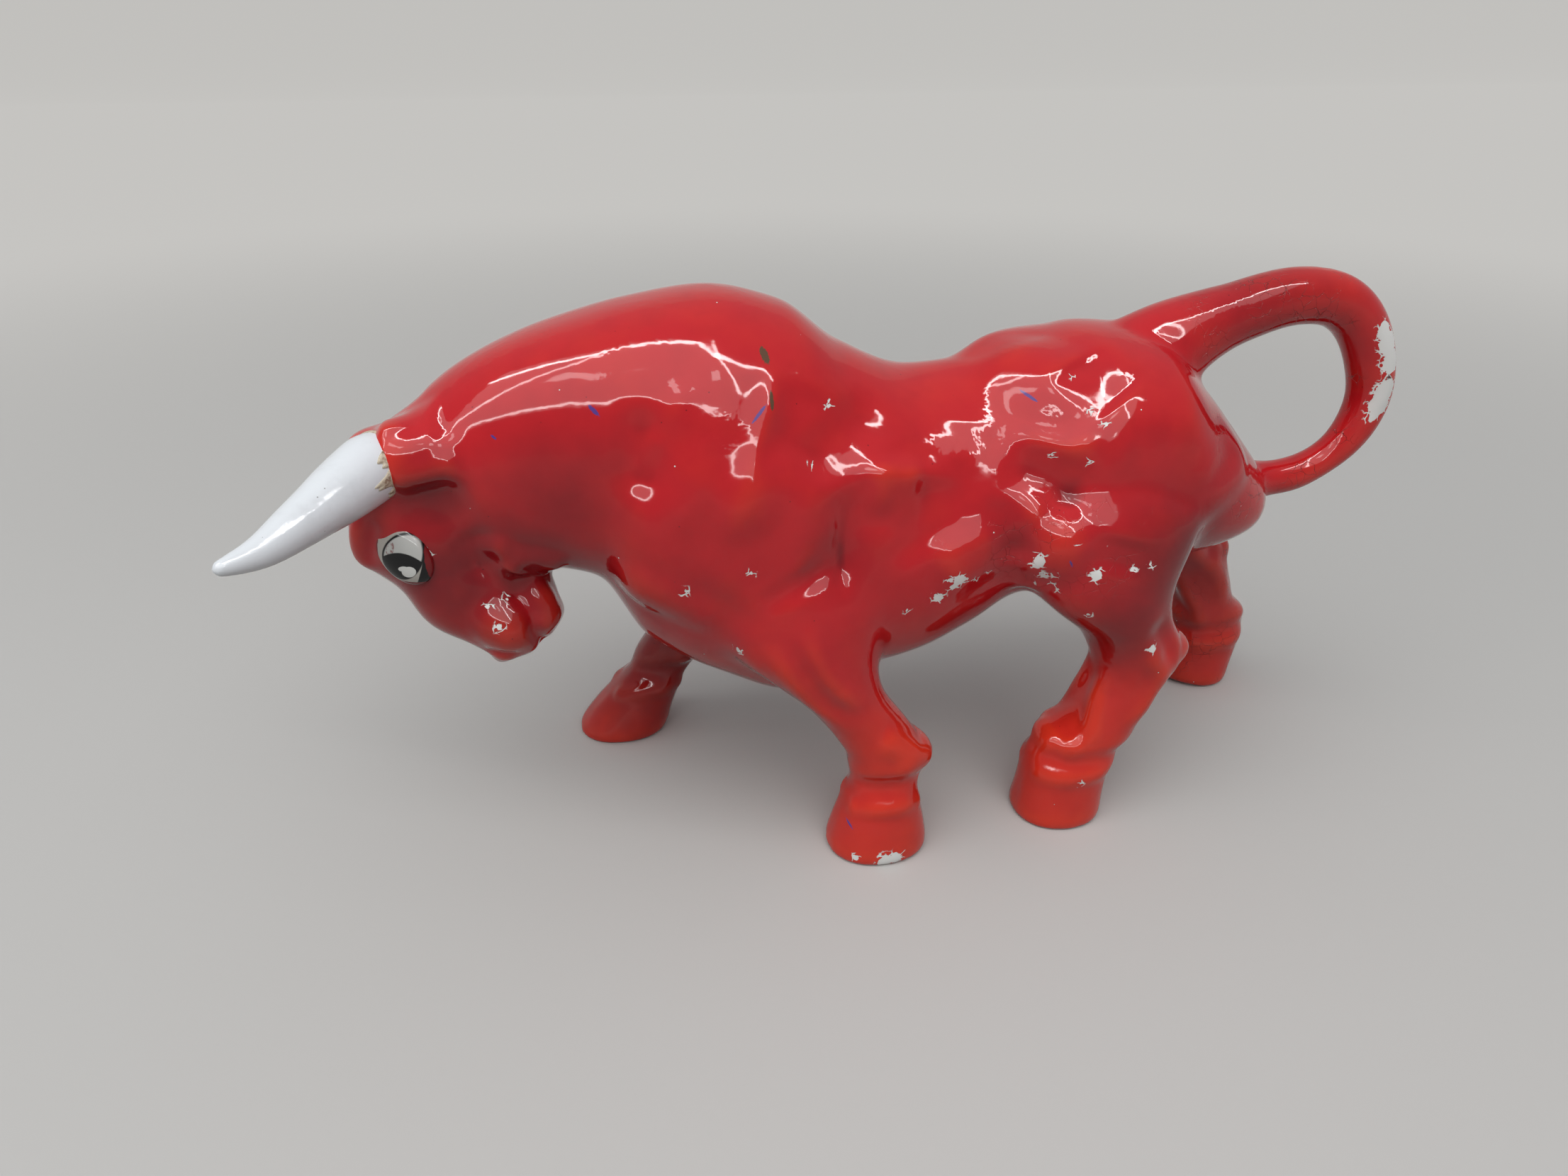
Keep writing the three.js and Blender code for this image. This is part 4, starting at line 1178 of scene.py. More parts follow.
class Nodes:
    """A material's node tree, with short calls that add and join nodes."""

    def __init__(self, name: str) -> None:
        """Starts a material of one Principled shader.

        Args:
            name: The material's name.
        """
        self.material = bpy.data.materials.new(name)
        self.material.use_nodes = True
        self.tree = self.material.node_tree
        self.tree.nodes.clear()
        self.shader = self.add("ShaderNodeBsdfPrincipled")
        output = self.add("ShaderNodeOutputMaterial")
        self.tree.links.new(self.shader.outputs["BSDF"], output.inputs["Surface"])

    def add(self, kind: str, **settings: object) -> bpy.types.Node:
        """Adds a node with some of its settings.

        Args:
            kind: The node's type.
            **settings: Its settings by name.

        Returns:
            The node.
        """
        node = self.tree.nodes.new(kind)
        for name, value in settings.items():
            setattr(node, name, value)
        return node

    def feed(self, socket: bpy.types.NodeSocket, value: object) -> None:
        """Links a socket to an output, or sets its number or colour.

        Args:
            socket: An input.
            value: An output, a number or a colour.
        """
        if isinstance(value, bpy.types.NodeSocket):
            self.tree.links.new(value, socket)
        else:
            socket.default_value = value

    def math(self, operation: str, *values: object, clamp: bool = False) -> bpy.types.NodeSocket:
        """One step of arithmetic on sockets and numbers.

        Args:
            operation: The step, as Blender names it.
            *values: What it takes: outputs or numbers.
            clamp: Whether the result is kept from 0 to 1.

        Returns:
            The result.
        """
        node = self.add("ShaderNodeMath", operation=operation, use_clamp=clamp)
        for socket, value in zip(node.inputs, values):
            self.feed(socket, value)
        return node.outputs[0]

    def ramp(self, value: object, low: float, high: float) -> bpy.types.NodeSocket:
        """A smooth rise from 0 at low to 1 at high.

        Args:
            value: An output.
            low: Where the rise starts.
            high: Where it ends, which may lie lower.

        Returns:
            The risen number.
        """
        node = self.add("ShaderNodeMapRange", interpolation_type="SMOOTHSTEP")
        self.feed(node.inputs["Value"], value)
        node.inputs["From Min"].default_value = low
        node.inputs["From Max"].default_value = high
        return node.outputs["Result"]

    def mix(self, share: object, first: object, second: object) -> bpy.types.NodeSocket:
        """A colour between two others.

        Args:
            share: How much of the second colour shows.
            first: The colour at 0.
            second: The colour at 1.

        Returns:
            The mixed colour.
        """
        node = self.add("ShaderNodeMix", data_type="RGBA")
        self.feed(node.inputs["Factor"], share)
        colours = [s for s in node.inputs if s.type == "RGBA"]
        self.feed(colours[0], first)
        self.feed(colours[1], second)
        return next(s for s in node.outputs if s.type == "RGBA")

    def place(self) -> bpy.types.NodeSocket:
        """The place on the object, in metres."""
        return self.add("ShaderNodeTexCoord").outputs["Object"]

    def attribute(self, name: str) -> bpy.types.NodeSocket:
        """A number kept on the piece's own points."""
        return self.add("ShaderNodeAttribute", attribute_name=name).outputs["Fac"]

    def noise(self, size: float, detail: float = 2.0, roughness: float = 0.5) -> bpy.types.NodeSocket:
        """Even noise of about 0 to 1, with features of a size in millimetres.

        Args:
            size: The features' size in millimetres.
            detail: How many finer layers it has.
            roughness: How strong these are.

        Returns:
            The noise.
        """
        node = self.add("ShaderNodeTexNoise")
        self.feed(node.inputs["Vector"], self.place())
        node.inputs["Scale"].default_value = 1 / (size * MM)
        node.inputs["Detail"].default_value = detail
        node.inputs["Roughness"].default_value = roughness
        return node.outputs[0]

    def cells(self, size: float, feature: str, warp: float = 0.0) -> bpy.types.Node:
        """Cells of a size in millimetres, their borders bent by noise.

        Args:
            size: The cells' size in millimetres.
            feature: What is measured, as Blender names it.
            warp: How far noise bends the borders, in millimetres.

        Returns:
            The texture's node.
        """
        node = self.add("ShaderNodeTexVoronoi", feature=feature)
        place = self.place()
        if warp:
            bend = self.add("ShaderNodeTexNoise")
            self.feed(bend.inputs["Vector"], place)
            bend.inputs["Scale"].default_value = 1.6 / (size * MM)
            push = self.add("ShaderNodeVectorMath", operation="SCALE")
            self.feed(push.inputs[0], bend.outputs["Color"])
            push.inputs["Scale"].default_value = warp * MM
            total = self.add("ShaderNodeVectorMath", operation="ADD")
            self.feed(total.inputs[0], place)
            self.feed(total.inputs[1], push.outputs[0])
            place = total.outputs[0]
        self.feed(node.inputs["Vector"], place)
        node.inputs["Scale"].default_value = 1 / (size * MM)
        return node

    def marked(self, colour: bpy.types.NodeSocket, marks: Sequence[Mark]) -> bpy.types.NodeSocket:
        """The same colour with some marks on it.

        Args:
            colour: The colour under the marks.
            marks: The marks.

        Returns:
            The colour with them.
        """
        ragged = self.math("MULTIPLY", self.noise(0.6, 3, 0.6), 0.9)
        for mark in marks:
            middle, turn, half = mark.frame()
            held = self.add("ShaderNodeMapping", vector_type="TEXTURE")
            self.feed(held.inputs["Vector"], self.place())
            held.inputs["Location"].default_value = middle
            held.inputs["Rotation"].default_value = turn
            held.inputs["Scale"].default_value = half
            reach = self.add("ShaderNodeVectorMath", operation="LENGTH")
            self.feed(reach.inputs[0], held.outputs[0])
            inked = self.ramp(self.math("ADD", reach.outputs["Value"], ragged), 1.5, 1.3)
            colour = self.mix(self.math("MULTIPLY", inked, 0.85), colour, mark.ink.value)
        return colour

    def bump(self, height: object, distance: float, strength: float = 1.0) -> None:
        """Bends the shader's normal by a height, which is 1 at a distance in millimetres.

        Args:
            height: The height.
            distance: How high 1 is, in millimetres.
            strength: How much of it shows.
        """
        node = self.add("ShaderNodeBump")
        self.feed(node.inputs["Height"], height)
        node.inputs["Distance"].default_value = distance * MM
        node.inputs["Strength"].default_value = strength
        self.feed(self.shader.inputs["Normal"], node.outputs["Normal"])

    def finish(self, **values: object) -> bpy.types.Material:
        """Sets the shader's own sockets, named with underscores, and returns the material.

        Args:
            **values: What each socket gets.

        Returns:
            The material.
        """
        for name, value in values.items():
            self.feed(self.shader.inputs[name.replace("_", " ")], value)
        return self.material


@dataclass(frozen=True)
class RedGlaze:
    """Bright red glaze over a white body: darker where it pools and in painted shade, orange where it runs
    thin, and chipped.
    """

    red: Colour = (0.55, 0.011, 0.017, 1)
    thin: Colour = (0.69, 0.036, 0.016, 1)
    pooled_and_shaded: Colour = (0.13, 0.004, 0.008, 1)
    body: Colour = (0.83, 0.82, 0.79, 1)
    speck: Colour = (0.08, 0.003, 0.005, 1)
    hairline: Colour = (0.16, 0.006, 0.006, 1)
    # Sizes of its features, in millimetres.
    streak: float = 26
    cloud: float = 9
    dot: float = 4.5
    cell: float = 4.2
    cell_bend: float = 2.2
    flake: float = 2.2
    dust: float = 7.5
    peel: float = 3.4
    lump: float = 2.0

    def tones(self, n: Nodes) -> bpy.types.NodeSocket:
        """Colours the whole glaze, thin and pooled, with painted shade and dark dots.

        Args:
            n: The material's nodes.

        Returns:
            The colour.
        """
        streaks = n.math("SUBTRACT", n.noise(self.streak, 3, 0.55), 0.5)
        thin = n.math("ADD", n.attribute("thin"), n.math("MULTIPLY", streaks, 0.9), clamp=True)
        colour = n.mix(thin, self.red, self.thin)
        clouds = n.math("SUBTRACT", n.noise(self.cloud, 2), 0.5)
        # The darkening where the glaze pools carries the painted shade of the washes too.
        pool_and_shade = n.math("ADD", n.attribute("pool_and_shade"), n.math("MULTIPLY", clouds, 0.35), clamp=True)
        colour = n.mix(pool_and_shade, colour, self.pooled_and_shaded)
        dots = n.cells(self.dot, "F1").outputs["Distance"]
        dot = n.math("MULTIPLY", n.ramp(dots, 0.06, 0.035), n.ramp(n.noise(12, 1), 0.54, 0.6))
        return n.mix(n.math("MULTIPLY", dot, 0.75), colour, self.speck)

    def chipped(self, n: Nodes, border: bpy.types.NodeSocket) -> bpy.types.NodeSocket:
        """Finds where the glaze has flaked off: the chips, the cracks that branch from them, and dust.

        Args:
            n: The material's nodes.
            border: The distance to the nearest crazing line.

        Returns:
            1 where the white body shows, and 0 elsewhere.
        """
        ragged = n.math("MULTIPLY", n.math("SUBTRACT", n.noise(self.flake, 4, 0.65), 0.5), 3.4)
        depth = n.math("ADD", n.attribute("chip"), ragged)
        core = n.ramp(depth, 0.0, 0.15)
        branch = n.math("MULTIPLY", n.ramp(depth, -1.5, -0.7), n.ramp(border, 0.05, 0.03))
        grains = n.cells(self.dust, "F1").outputs["Distance"]
        dust = n.math("MULTIPLY", n.ramp(grains, 0.036, 0.026), n.ramp(n.noise(17, 1), 0.52, 0.57))
        return n.math("MAXIMUM", n.math("MAXIMUM", core, branch), dust)

    def material(self) -> bpy.types.Material:
        """Builds the finish.

        Returns:
            The material.
        """
        n = Nodes("red_glaze")
        border = n.cells(self.cell, "DISTANCE_TO_EDGE", self.cell_bend).outputs["Distance"]
        crazed = n.math("MULTIPLY", n.attribute("crazed"), n.ramp(n.noise(13, 2), 0.46, 0.62))
        crack = n.math("MULTIPLY", n.ramp(border, 0.02, 0.006), crazed)
        colour = n.mix(n.math("MULTIPLY", crack, 0.6), self.tones(n), self.hairline)
        chipped = self.chipped(n, border)
        colour = n.mix(chipped, n.marked(colour, BODY_MARKS), self.body)
        rough = n.math("ADD", n.math("MULTIPLY", n.noise(4, 3), 0.05), 0.035)
        rough = n.math("ADD", rough, n.math("MULTIPLY", chipped, 0.5))
        peel = n.math("MULTIPLY", n.noise(self.peel, 1), 0.1)
        patches = n.ramp(n.noise(16, 1), 0.48, 0.6)
        lumps = n.math("MULTIPLY", n.math("MULTIPLY", n.noise(self.lump, 1), patches), 0.26)
        dents = n.math("MULTIPLY", n.math("MAXIMUM", chipped, crack), 0.6)
        n.bump(n.math("SUBTRACT", n.math("ADD", peel, lumps), dents), 0.25)
        return n.finish(Base_Color=colour, Roughness=rough, IOR=1.42)


@dataclass(frozen=True)
class WhiteGlaze:
    """Cool white glaze of the horns, with grey specks and scuffs."""

    white: Colour = (0.80, 0.83, 0.86, 1)
    grey: Colour = (0.55, 0.56, 0.58, 1)
    speck: Colour = (0.12, 0.10, 0.09, 1)

    def material(self) -> bpy.types.Material:
        """Builds the finish.

        Returns:
            The material.
        """
        n = Nodes("white_glaze")
        cloud = n.ramp(n.noise(9, 4, 0.6), 0.5, 0.85)
        colour = n.mix(n.math("MULTIPLY", cloud, 0.35), self.white, self.grey)
        dots = n.cells(2.6, "F1").outputs["Distance"]
        dot = n.math("MULTIPLY", n.ramp(dots, 0.12, 0.06), n.ramp(n.noise(7, 1), 0.6, 0.64))
        colour = n.mix(n.math("MULTIPLY", dot, 0.7), colour, self.speck)
        colour = n.marked(colour, HORN_MARKS)
        n.bump(n.noise(2.5, 2), 0.06)
        rough = n.math("ADD", n.math("MULTIPLY", n.noise(5, 3), 0.1), 0.06)
        return n.finish(Base_Color=colour, Roughness=rough, IOR=1.5)


@dataclass(frozen=True)
class Cement:
    """Dull cream cement that squeezed out round the horns."""

    cream: Colour = (0.66, 0.57, 0.43, 1)
    stain: Colour = (0.22, 0.10, 0.05, 1)

    def material(self) -> bpy.types.Material:
        """Builds the finish.

        Returns:
            The material.
        """
        n = Nodes("cement")
        colour = n.mix(n.ramp(n.noise(1.6, 4, 0.65), 0.42, 0.72), self.cream, self.stain)
        n.bump(n.noise(0.9, 4, 0.6), 0.3)
        return n.finish(Base_Color=colour, Roughness=0.75)


class EyeNodes(Nodes):
    """Nodes that draw lines and ellipses on the eye.

    The eye keeps two numbers on each point: how far right and how far down it lies from the iris's middle, as
    seen from the side, in radii of the iris.
    """

    def __init__(self, name: str) -> None:
        """Starts a material that knows where each point lies.

        Args:
            name: The material's name.
        """
        super().__init__(name)
        self.right = self.attribute("eye_right")
        self.down = self.attribute("eye_down")

    def line(self, across: float, along: float, offset: float) -> bpy.types.NodeSocket:
        """Measures how far points lie on one side of a straight line.

        Args:
            across: What one step to the right adds.
            along: What one step down adds.
            offset: The measure at the iris's middle.

        Returns:
            The measure.
        """
        right = self.math("MULTIPLY", self.right, across)
        down = self.math("MULTIPLY", self.down, along)
        return self.math("ADD", self.math("ADD", right, down), offset)

    def disc(self, right: float, down: float, wide: float, tall: float) -> bpy.types.NodeSocket:
        """Fills an ellipse.

        Args:
            right: How far right its middle lies.
            down: How far down its middle lies.
            wide: Half its width.
            tall: Half its height.

        Returns:
            1 inside, and 0 outside.
        """
        across = self.math("DIVIDE", self.math("SUBTRACT", self.right, right), wide)
        drop = self.math("DIVIDE", self.math("SUBTRACT", self.down, down), tall)
        square = self.math("ADD", self.square(across), self.square(drop))
        return self.ramp(self.math("SQRT", square), 1.04, 0.96)

    def square(self, value: bpy.types.NodeSocket) -> bpy.types.NodeSocket:
        """A number times itself."""
        return self.math("MULTIPLY", value, value)


@dataclass(frozen=True)
class EyeGlaze:
    """White glaze with the eye painted on it, a painted highlight and a painted red reflection on it, and red
    round the eye's opening.
    """

    white: Colour = (0.50, 0.47, 0.42, 1)
    grey: Colour = (0.55, 0.55, 0.52, 1)
    painted_glint: Colour = (0.78, 0.78, 0.74, 1)
    black: Colour = (0.003, 0.003, 0.004, 1)
    red: Colour = (0.20, 0.007, 0.010, 1)
    # The straight borders of the opening, as EyeNodes.line takes them, over 0 inside.
    borders: tuple[tuple[float, float, float], ...] = (
        (1, 0, 1.27),
        (-0.11, 1, 1.05),
        (-1, 0.23, 1.01),
        (0.1, -1, 1.09),
        (0.4, -1, 1.2),
        (1.7, -1, 2.4),
    )

    def opening(self, n: EyeNodes) -> bpy.types.NodeSocket:
        """Finds what lies inside the eye's opening, whose edge is a little ragged.

        Args:
            n: The material's nodes.

        Returns:
            1 inside, and 0 outside.
        """
        inside = n.line(*self.borders[0])
        for border in self.borders[1:]:
            inside = n.math("MINIMUM", inside, n.line(*border))
        ragged = n.math("MULTIPLY", n.math("SUBTRACT", n.noise(1.6, 3), 0.5), 0.1)
        return n.ramp(n.math("ADD", inside, ragged), 0.0, 0.04)

    def material(self) -> bpy.types.Material:
        """Builds the finish.

        Returns:
            The material.
        """
        n = EyeNodes("eye_glaze")
        under_brow = n.math("ADD", n.math("MULTIPLY", n.square(n.right), -0.36), n.line(-0.15, 1, 0.232))
        pupil = n.math("MULTIPLY", n.disc(0, 0, 0.97, 0.97), n.ramp(under_brow, -0.02, 0.03))
        lower = n.math("SUBTRACT", n.down, 0.1)
        lid = n.math("ADD", n.math("MULTIPLY", n.square(lower), 0.25), n.line(1, 0, -0.95))
        # The glints are painted highlights, and the red patch on the iris is a painted reflection of the red
        # body.
        smear = n.math("MULTIPLY", n.disc(-0.58, -0.42, 0.22, 0.3), n.ramp(n.noise(1.1, 2), 0.42, 0.6))
        painted_glints = n.math("MAXIMUM", n.disc(0.1, 0.47, 0.26, 0.12), n.disc(0.34, 0.62, 0.34, 0.25))
        colour = n.mix(n.disc(0, 0, 1, 1), self.white, self.black)
        colour = n.mix(n.disc(0.01, 0, 0.9, 0.9), colour, self.grey)
        colour = n.mix(n.math("MULTIPLY", smear, 0.7), colour, self.red)
        colour = n.mix(pupil, colour, self.black)
        colour = n.mix(painted_glints, colour, self.painted_glint)
        colour = n.mix(n.ramp(lid, -0.02, 0.02), colour, self.black)
        colour = n.mix(self.opening(n), self.red, colour)
        return n.finish(Base_Color=colour, Roughness=0.08, IOR=1.4)


@dataclass(frozen=True)
class FloorPaint:
    """Plain pale floor and backdrop, which throw back less light than they show and stay pale far off."""

    pale: Colour = (0.54, 0.53, 0.51, 1)
    bounce: Colour = (0.13, 0.12, 0.11, 1)
    dim: Colour = (0.02, 0.02, 0.02, 1)
    distance: float = 0.95
    # Between these distances in metres its own glow takes over from the lamps' light.
    fade: tuple[float, float] = (0.25, 1.3)

    def material(self) -> bpy.types.Material:
        """Builds the finish.

        Returns:
            The material.
        """
        n = Nodes("floor_paint")
        path = n.add("ShaderNodeLightPath")
        seen = n.math("MAXIMUM", path.outputs["Is Camera Ray"], path.outputs["Is Glossy Ray"])
        seen = n.math("MAXIMUM", seen, path.outputs["Is Transmission Ray"])
        reach = n.add("ShaderNodeVectorMath", operation="LENGTH")
        n.feed(reach.inputs[0], n.place())
        far = n.ramp(reach.outputs["Value"], *self.fade)
        colour = n.mix(seen, self.bounce, n.mix(far, self.pale, self.dim))
        glow = n.math("MULTIPLY", n.math("MULTIPLY", seen, far), self.distance)
        return n.finish(Base_Color=colour, Roughness=0.8, Emission_Color=self.pale, Emission_Strength=glow)


def new_object(name: str, mesh: bpy.types.Mesh) -> bpy.types.Object:
    """Puts a mesh into the scene as an object of the same name.

    Args:
        name: The object's name.
        mesh: Its mesh.

    Returns:
        The object.
    """
    item = bpy.data.objects.new(name, mesh)
    bpy.context.scene.collection.objects.link(item)
    return item


def rounded(shape: bmesh.types.BMesh, name: str) -> bpy.types.Mesh:
    """Turns a modelled shape into a smoothly shaded mesh that faces outwards.

    Args:
        shape: The modelled shape, which is freed.
        name: The mesh's name.

    Returns:
        The mesh.
    """
    bmesh.ops.recalc_face_normals(shape, faces=shape.faces)
    for face in shape.faces:
        face.smooth = True
    mesh = bpy.data.meshes.new(name)
    shape.to_mesh(mesh)
    shape.free()
    return mesh


def set_numbers(mesh: bpy.types.Mesh, name: str, values: np.ndarray) -> None:
    """Keeps one number for each point of a mesh under a name."""
    layer = mesh.attributes.get(name) or mesh.attributes.new(name, "FLOAT", "POINT")
    layer.data.foreach_set("value", values.astype(np.float32))


def to_frame(mesh: bpy.types.Mesh) -> None:
    """Moves a mesh from the bull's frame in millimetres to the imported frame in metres."""
    mesh.transform(Matrix.Scale(MM, 4) @ Matrix.Translation(SHIFT))


def placed(shape: bmesh.types.BMesh, name: str) -> bpy.types.Object:
    """Turns a shape modelled in the bull's frame into a piece.

    Args:
        shape: The modelled shape, which is freed.
        name: The piece's name.

    Returns:
        The piece, in the scene.
    """
    mesh = rounded(shape, name)
    to_frame(mesh)
    return new_object(name, mesh)


def attach(piece: bpy.types.Object, slot: Slot, finish: bpy.types.Material, *nodes: str) -> None:
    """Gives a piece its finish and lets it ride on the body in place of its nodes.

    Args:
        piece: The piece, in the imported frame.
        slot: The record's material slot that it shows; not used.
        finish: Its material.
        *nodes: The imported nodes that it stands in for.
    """
    piece.data.materials.clear()
    piece.data.materials.append(finish)
    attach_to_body(piece, ROOT)
    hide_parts(*nodes)
    log.info("%s: %d points for %s", piece.name, len(piece.data.vertices), ", ".join(nodes))


@dataclass
class Body:
    """All glazed castings, fused, modelled and parted again along their seams."""

    torso: Torso
    head: Head
    tail: Tail
    sheath: Sheath
    ears: tuple[Ear, ...]
    legs: tuple[Leg, ...]
    chips: tuple[Chip, ...]
    # Sizes in millimetres of what smoothing takes off the fused skin, its seams and the strokes.
    steps_smoothed: float = 1.3
    seams_smoothed: float = 5.0
    strokes_smoothed: float = 1.2
    grain: float = 0.9

    def blank(self) -> bpy.types.Mesh:
        """Lofts all castings and fuses them into one dense skin.

        Returns:
            The fused mesh, in the bull's frame.
        """
        clay = bmesh.new()
        for part in (self.torso, self.head, self.tail, self.sheath, *self.ears, *self.legs):
            lump = bmesh.new()
            part.model(lump)
            bmesh.ops.recalc_face_normals(lump, faces=lump.faces)
            mesh = bpy.data.meshes.new("lump")
            lump.to_mesh(mesh)
            lump.free()
            clay.from_mesh(mesh)
        block = new_object("blank", bpy.data.meshes.new("blank"))
        clay.to_mesh(block.data)
        clay.free()
        remesh = block.modifiers.new("fuse", "REMESH")
        remesh.mode = "VOXEL"
        remesh.voxel_size = self.grain
        fused = bpy.data.meshes.new_from_object(block.evaluated_get(bpy.context.evaluated_depsgraph_get()))
        bpy.data.objects.remove(block)
        return fused

    def seams(self, points: np.ndarray) -> np.ndarray:
        """How close points lie to where two castings meet, from 0 to 1.

        Args:
            points: Places in the bull's frame, one row each.

        Returns:
            A closeness for each point.
        """
        near = np.zeros(len(points))
        for leg in self.legs:
            top = leg.form.stations[-1][0]
            room = leg.within(points, 3, top * 0.99)
            near = np.maximum(near, np.exp(-((room / 0.28) ** 2)) * smoothstep(points[:, 2], 44, 60))
        near = np.maximum(near, np.exp(-((self.head.within(points, 1.5) / 0.2) ** 2)))
        for seam in (self.tail.within(points), self.sheath.within(points)):
            near = np.maximum(near, np.exp(-((seam / 0.9) ** 2)))
        return near

    def skin(self) -> Clay:
        """Shapes the fused skin.

        Returns:
            The finished skin.
        """
        clay = Clay(self.blank(), self.grain)
        hooves = smoothstep(clay.points[:, 2], 0.5, 3)
        clay.relax(self.steps_smoothed, 0.25 + 0.75 * hooves)
        clay.relax(self.seams_smoothed, self.seams(clay.points))
        strokes = self.torso.strokes() + self.head.strokes()
        for leg in self.legs:
            strokes += leg.strokes()
        clay.press(strokes)
        clay.relax(self.strokes_smoothed, hooves)
        clay.points[:, 2] = np.maximum(clay.points[:, 2], 0)
        return clay

    def rooms(self) -> list[tuple[str, Field]]:
        """The room of each casting that is parted from the body.

        Returns:
            The name and the room of each.
        """
        rooms = [(f"ear_{ear.side.word}", partial(ear.within, grow=1.2)) for ear in self.ears]
        rooms.append(("head", partial(self.head.within, grow=1.0)))
        for leg in self.legs:
            rooms.append((leg.node, partial(leg.within, grow=2.0, top=leg.form.stations[-1][0] * 0.97)))
        rooms.append(("tail_loop", self.tail.within))
        rooms.append(("belly_sheath", self.sheath.within))
        return rooms

    def paint(self, clay: Clay) -> None:
        """Keeps on the skin what its glaze needs to know.

        Args:
            clay: The finished skin.
        """
        points, deep = clay.points, clay.hollows(4.5)
        pool_and_shade = smoothstep(deep, 0.15, 2.0)
        # Washes of painted shade darken the glaze where shade falls, on top of the pooling in hollows.
        for shade_wash in PAINTED_SHADE_WASHES:
            pool_and_shade = np.maximum(pool_and_shade, shade_wash.at(points))
        set_numbers(clay.mesh, "pool_and_shade", pool_and_shade)
        low = 1 - smoothstep(points[:, 2], 30, 95)
        set_numbers(clay.mesh, "thin", np.clip(0.6 * low + smoothstep(-deep, 0.1, 1.6) * 0.7, 0, 1))
        tail = smoothstep(points[:, 0], 95, 125)
        thigh = np.exp(-(((points[:, 0] - 50) / 22) ** 2 + ((points[:, 2] - 104) / 14) ** 2))
        set_numbers(clay.mesh, "crazed", np.maximum(tail, thigh))
        chip = np.full(len(points), -8.0)
        for spot in self.chips:
            chip = np.maximum(chip, spot.radius - np.linalg.norm(points - spot.on(points), axis=1))
        set_numbers(clay.mesh, "chip", chip)

    def build(self) -> None:
        """Makes the castings and dresses them."""
        clay = self.skin()
        self.paint(clay)
        finish = RedGlaze().material()
        for name, mesh in parted(clay, self.rooms()).items():
            to_frame(mesh)
            attach(new_object(f"glazed_{name}", mesh), Slot.RED, finish, name)


def parted(clay: Clay, rooms: Sequence[tuple[str, Field]]) -> dict[str, bpy.types.Mesh]:
    """Parts a skin along the borders of some rooms.

    Args:
        clay: The finished skin.
        rooms: A name and a room for each piece but the body.

    Returns:
        Each piece's closed mesh by name, in the bull's frame.
    """
    clay.normals()
    work = bmesh.new()
    work.from_mesh(clay.mesh)
    bmesh.ops.triangulate(work, faces=work.faces)
    label = work.faces.layers.int.new("label")
    for number, (_, room) in enumerate(rooms, 1):
        cut_room(work, room, label, number)
    whole = bpy.data.meshes.new("whole")
    work.to_mesh(whole)
    work.free()
    labels = np.empty(len(whole.polygons), np.int32)
    whole.attributes["label"].data.foreach_get("value", labels)
    names = ["torso"] + [name for name, _ in rooms]
    return {name: closed_part(whole, np.flatnonzero(labels == k), name) for k, name in enumerate(names)}


def cut_room(work: bmesh.types.BMesh, room: Field, label: bmesh.types.BMLayerItem, number: int) -> None:
    """Cuts a mesh along the border of a room, and labels the faces inside it.

    Args:
        work: The triangulated mesh.
        room: The room, over 0 inside.
        label: The layer that holds each face's label, 0 where it is free.
        number: The label of the faces inside.
    """
    scratch = bpy.data.meshes.new("scratch")
    work.to_mesh(scratch)
    depth = room(Clay.read(scratch.vertices, "co", 3))
    ends = Clay.read(scratch.edges, "vertices", 2, int)
    first, second = depth[ends[:, 0]], depth[ends[:, 1]]
    work.edges.ensure_lookup_table()
    crossing = [work.edges[k] for k in np.flatnonzero(first * second < 0)]
    fresh = set()
    for edge in crossing:
        if all(face[label] for face in edge.link_faces):
            continue
        a, b = edge.verts
        share = depth[a.index] / (depth[a.index] - depth[b.index])
        fresh.add(bmesh.utils.edge_split(edge, a, float(min(0.94, max(0.06, share))))[1])
    for face in {f for vert in fresh for f in vert.link_faces if f[label] == 0}:
        marked = [vert for vert in face.verts if vert in fresh]
        if len(marked) == 2:
            bmesh.utils.face_split(face, *marked)
    bmesh.ops.triangulate(work, faces=[face for face in work.faces if len(face.verts) > 3])
    work.verts.index_update()
    work.to_mesh(scratch)
    depth = room(Clay.read(scratch.vertices, "co", 3))
    corners = depth[Clay.read(scratch.polygons, "vertices", 3, int)]
    widest = np.abs(corners).argmax(1)
    work.faces.ensure_lookup_table()
    for k in np.flatnonzero(corners[np.arange(len(corners)), widest] > 0):
        if work.faces[k][label] == 0:
            work.faces[k][label] = number
    bpy.data.meshes.remove(scratch)


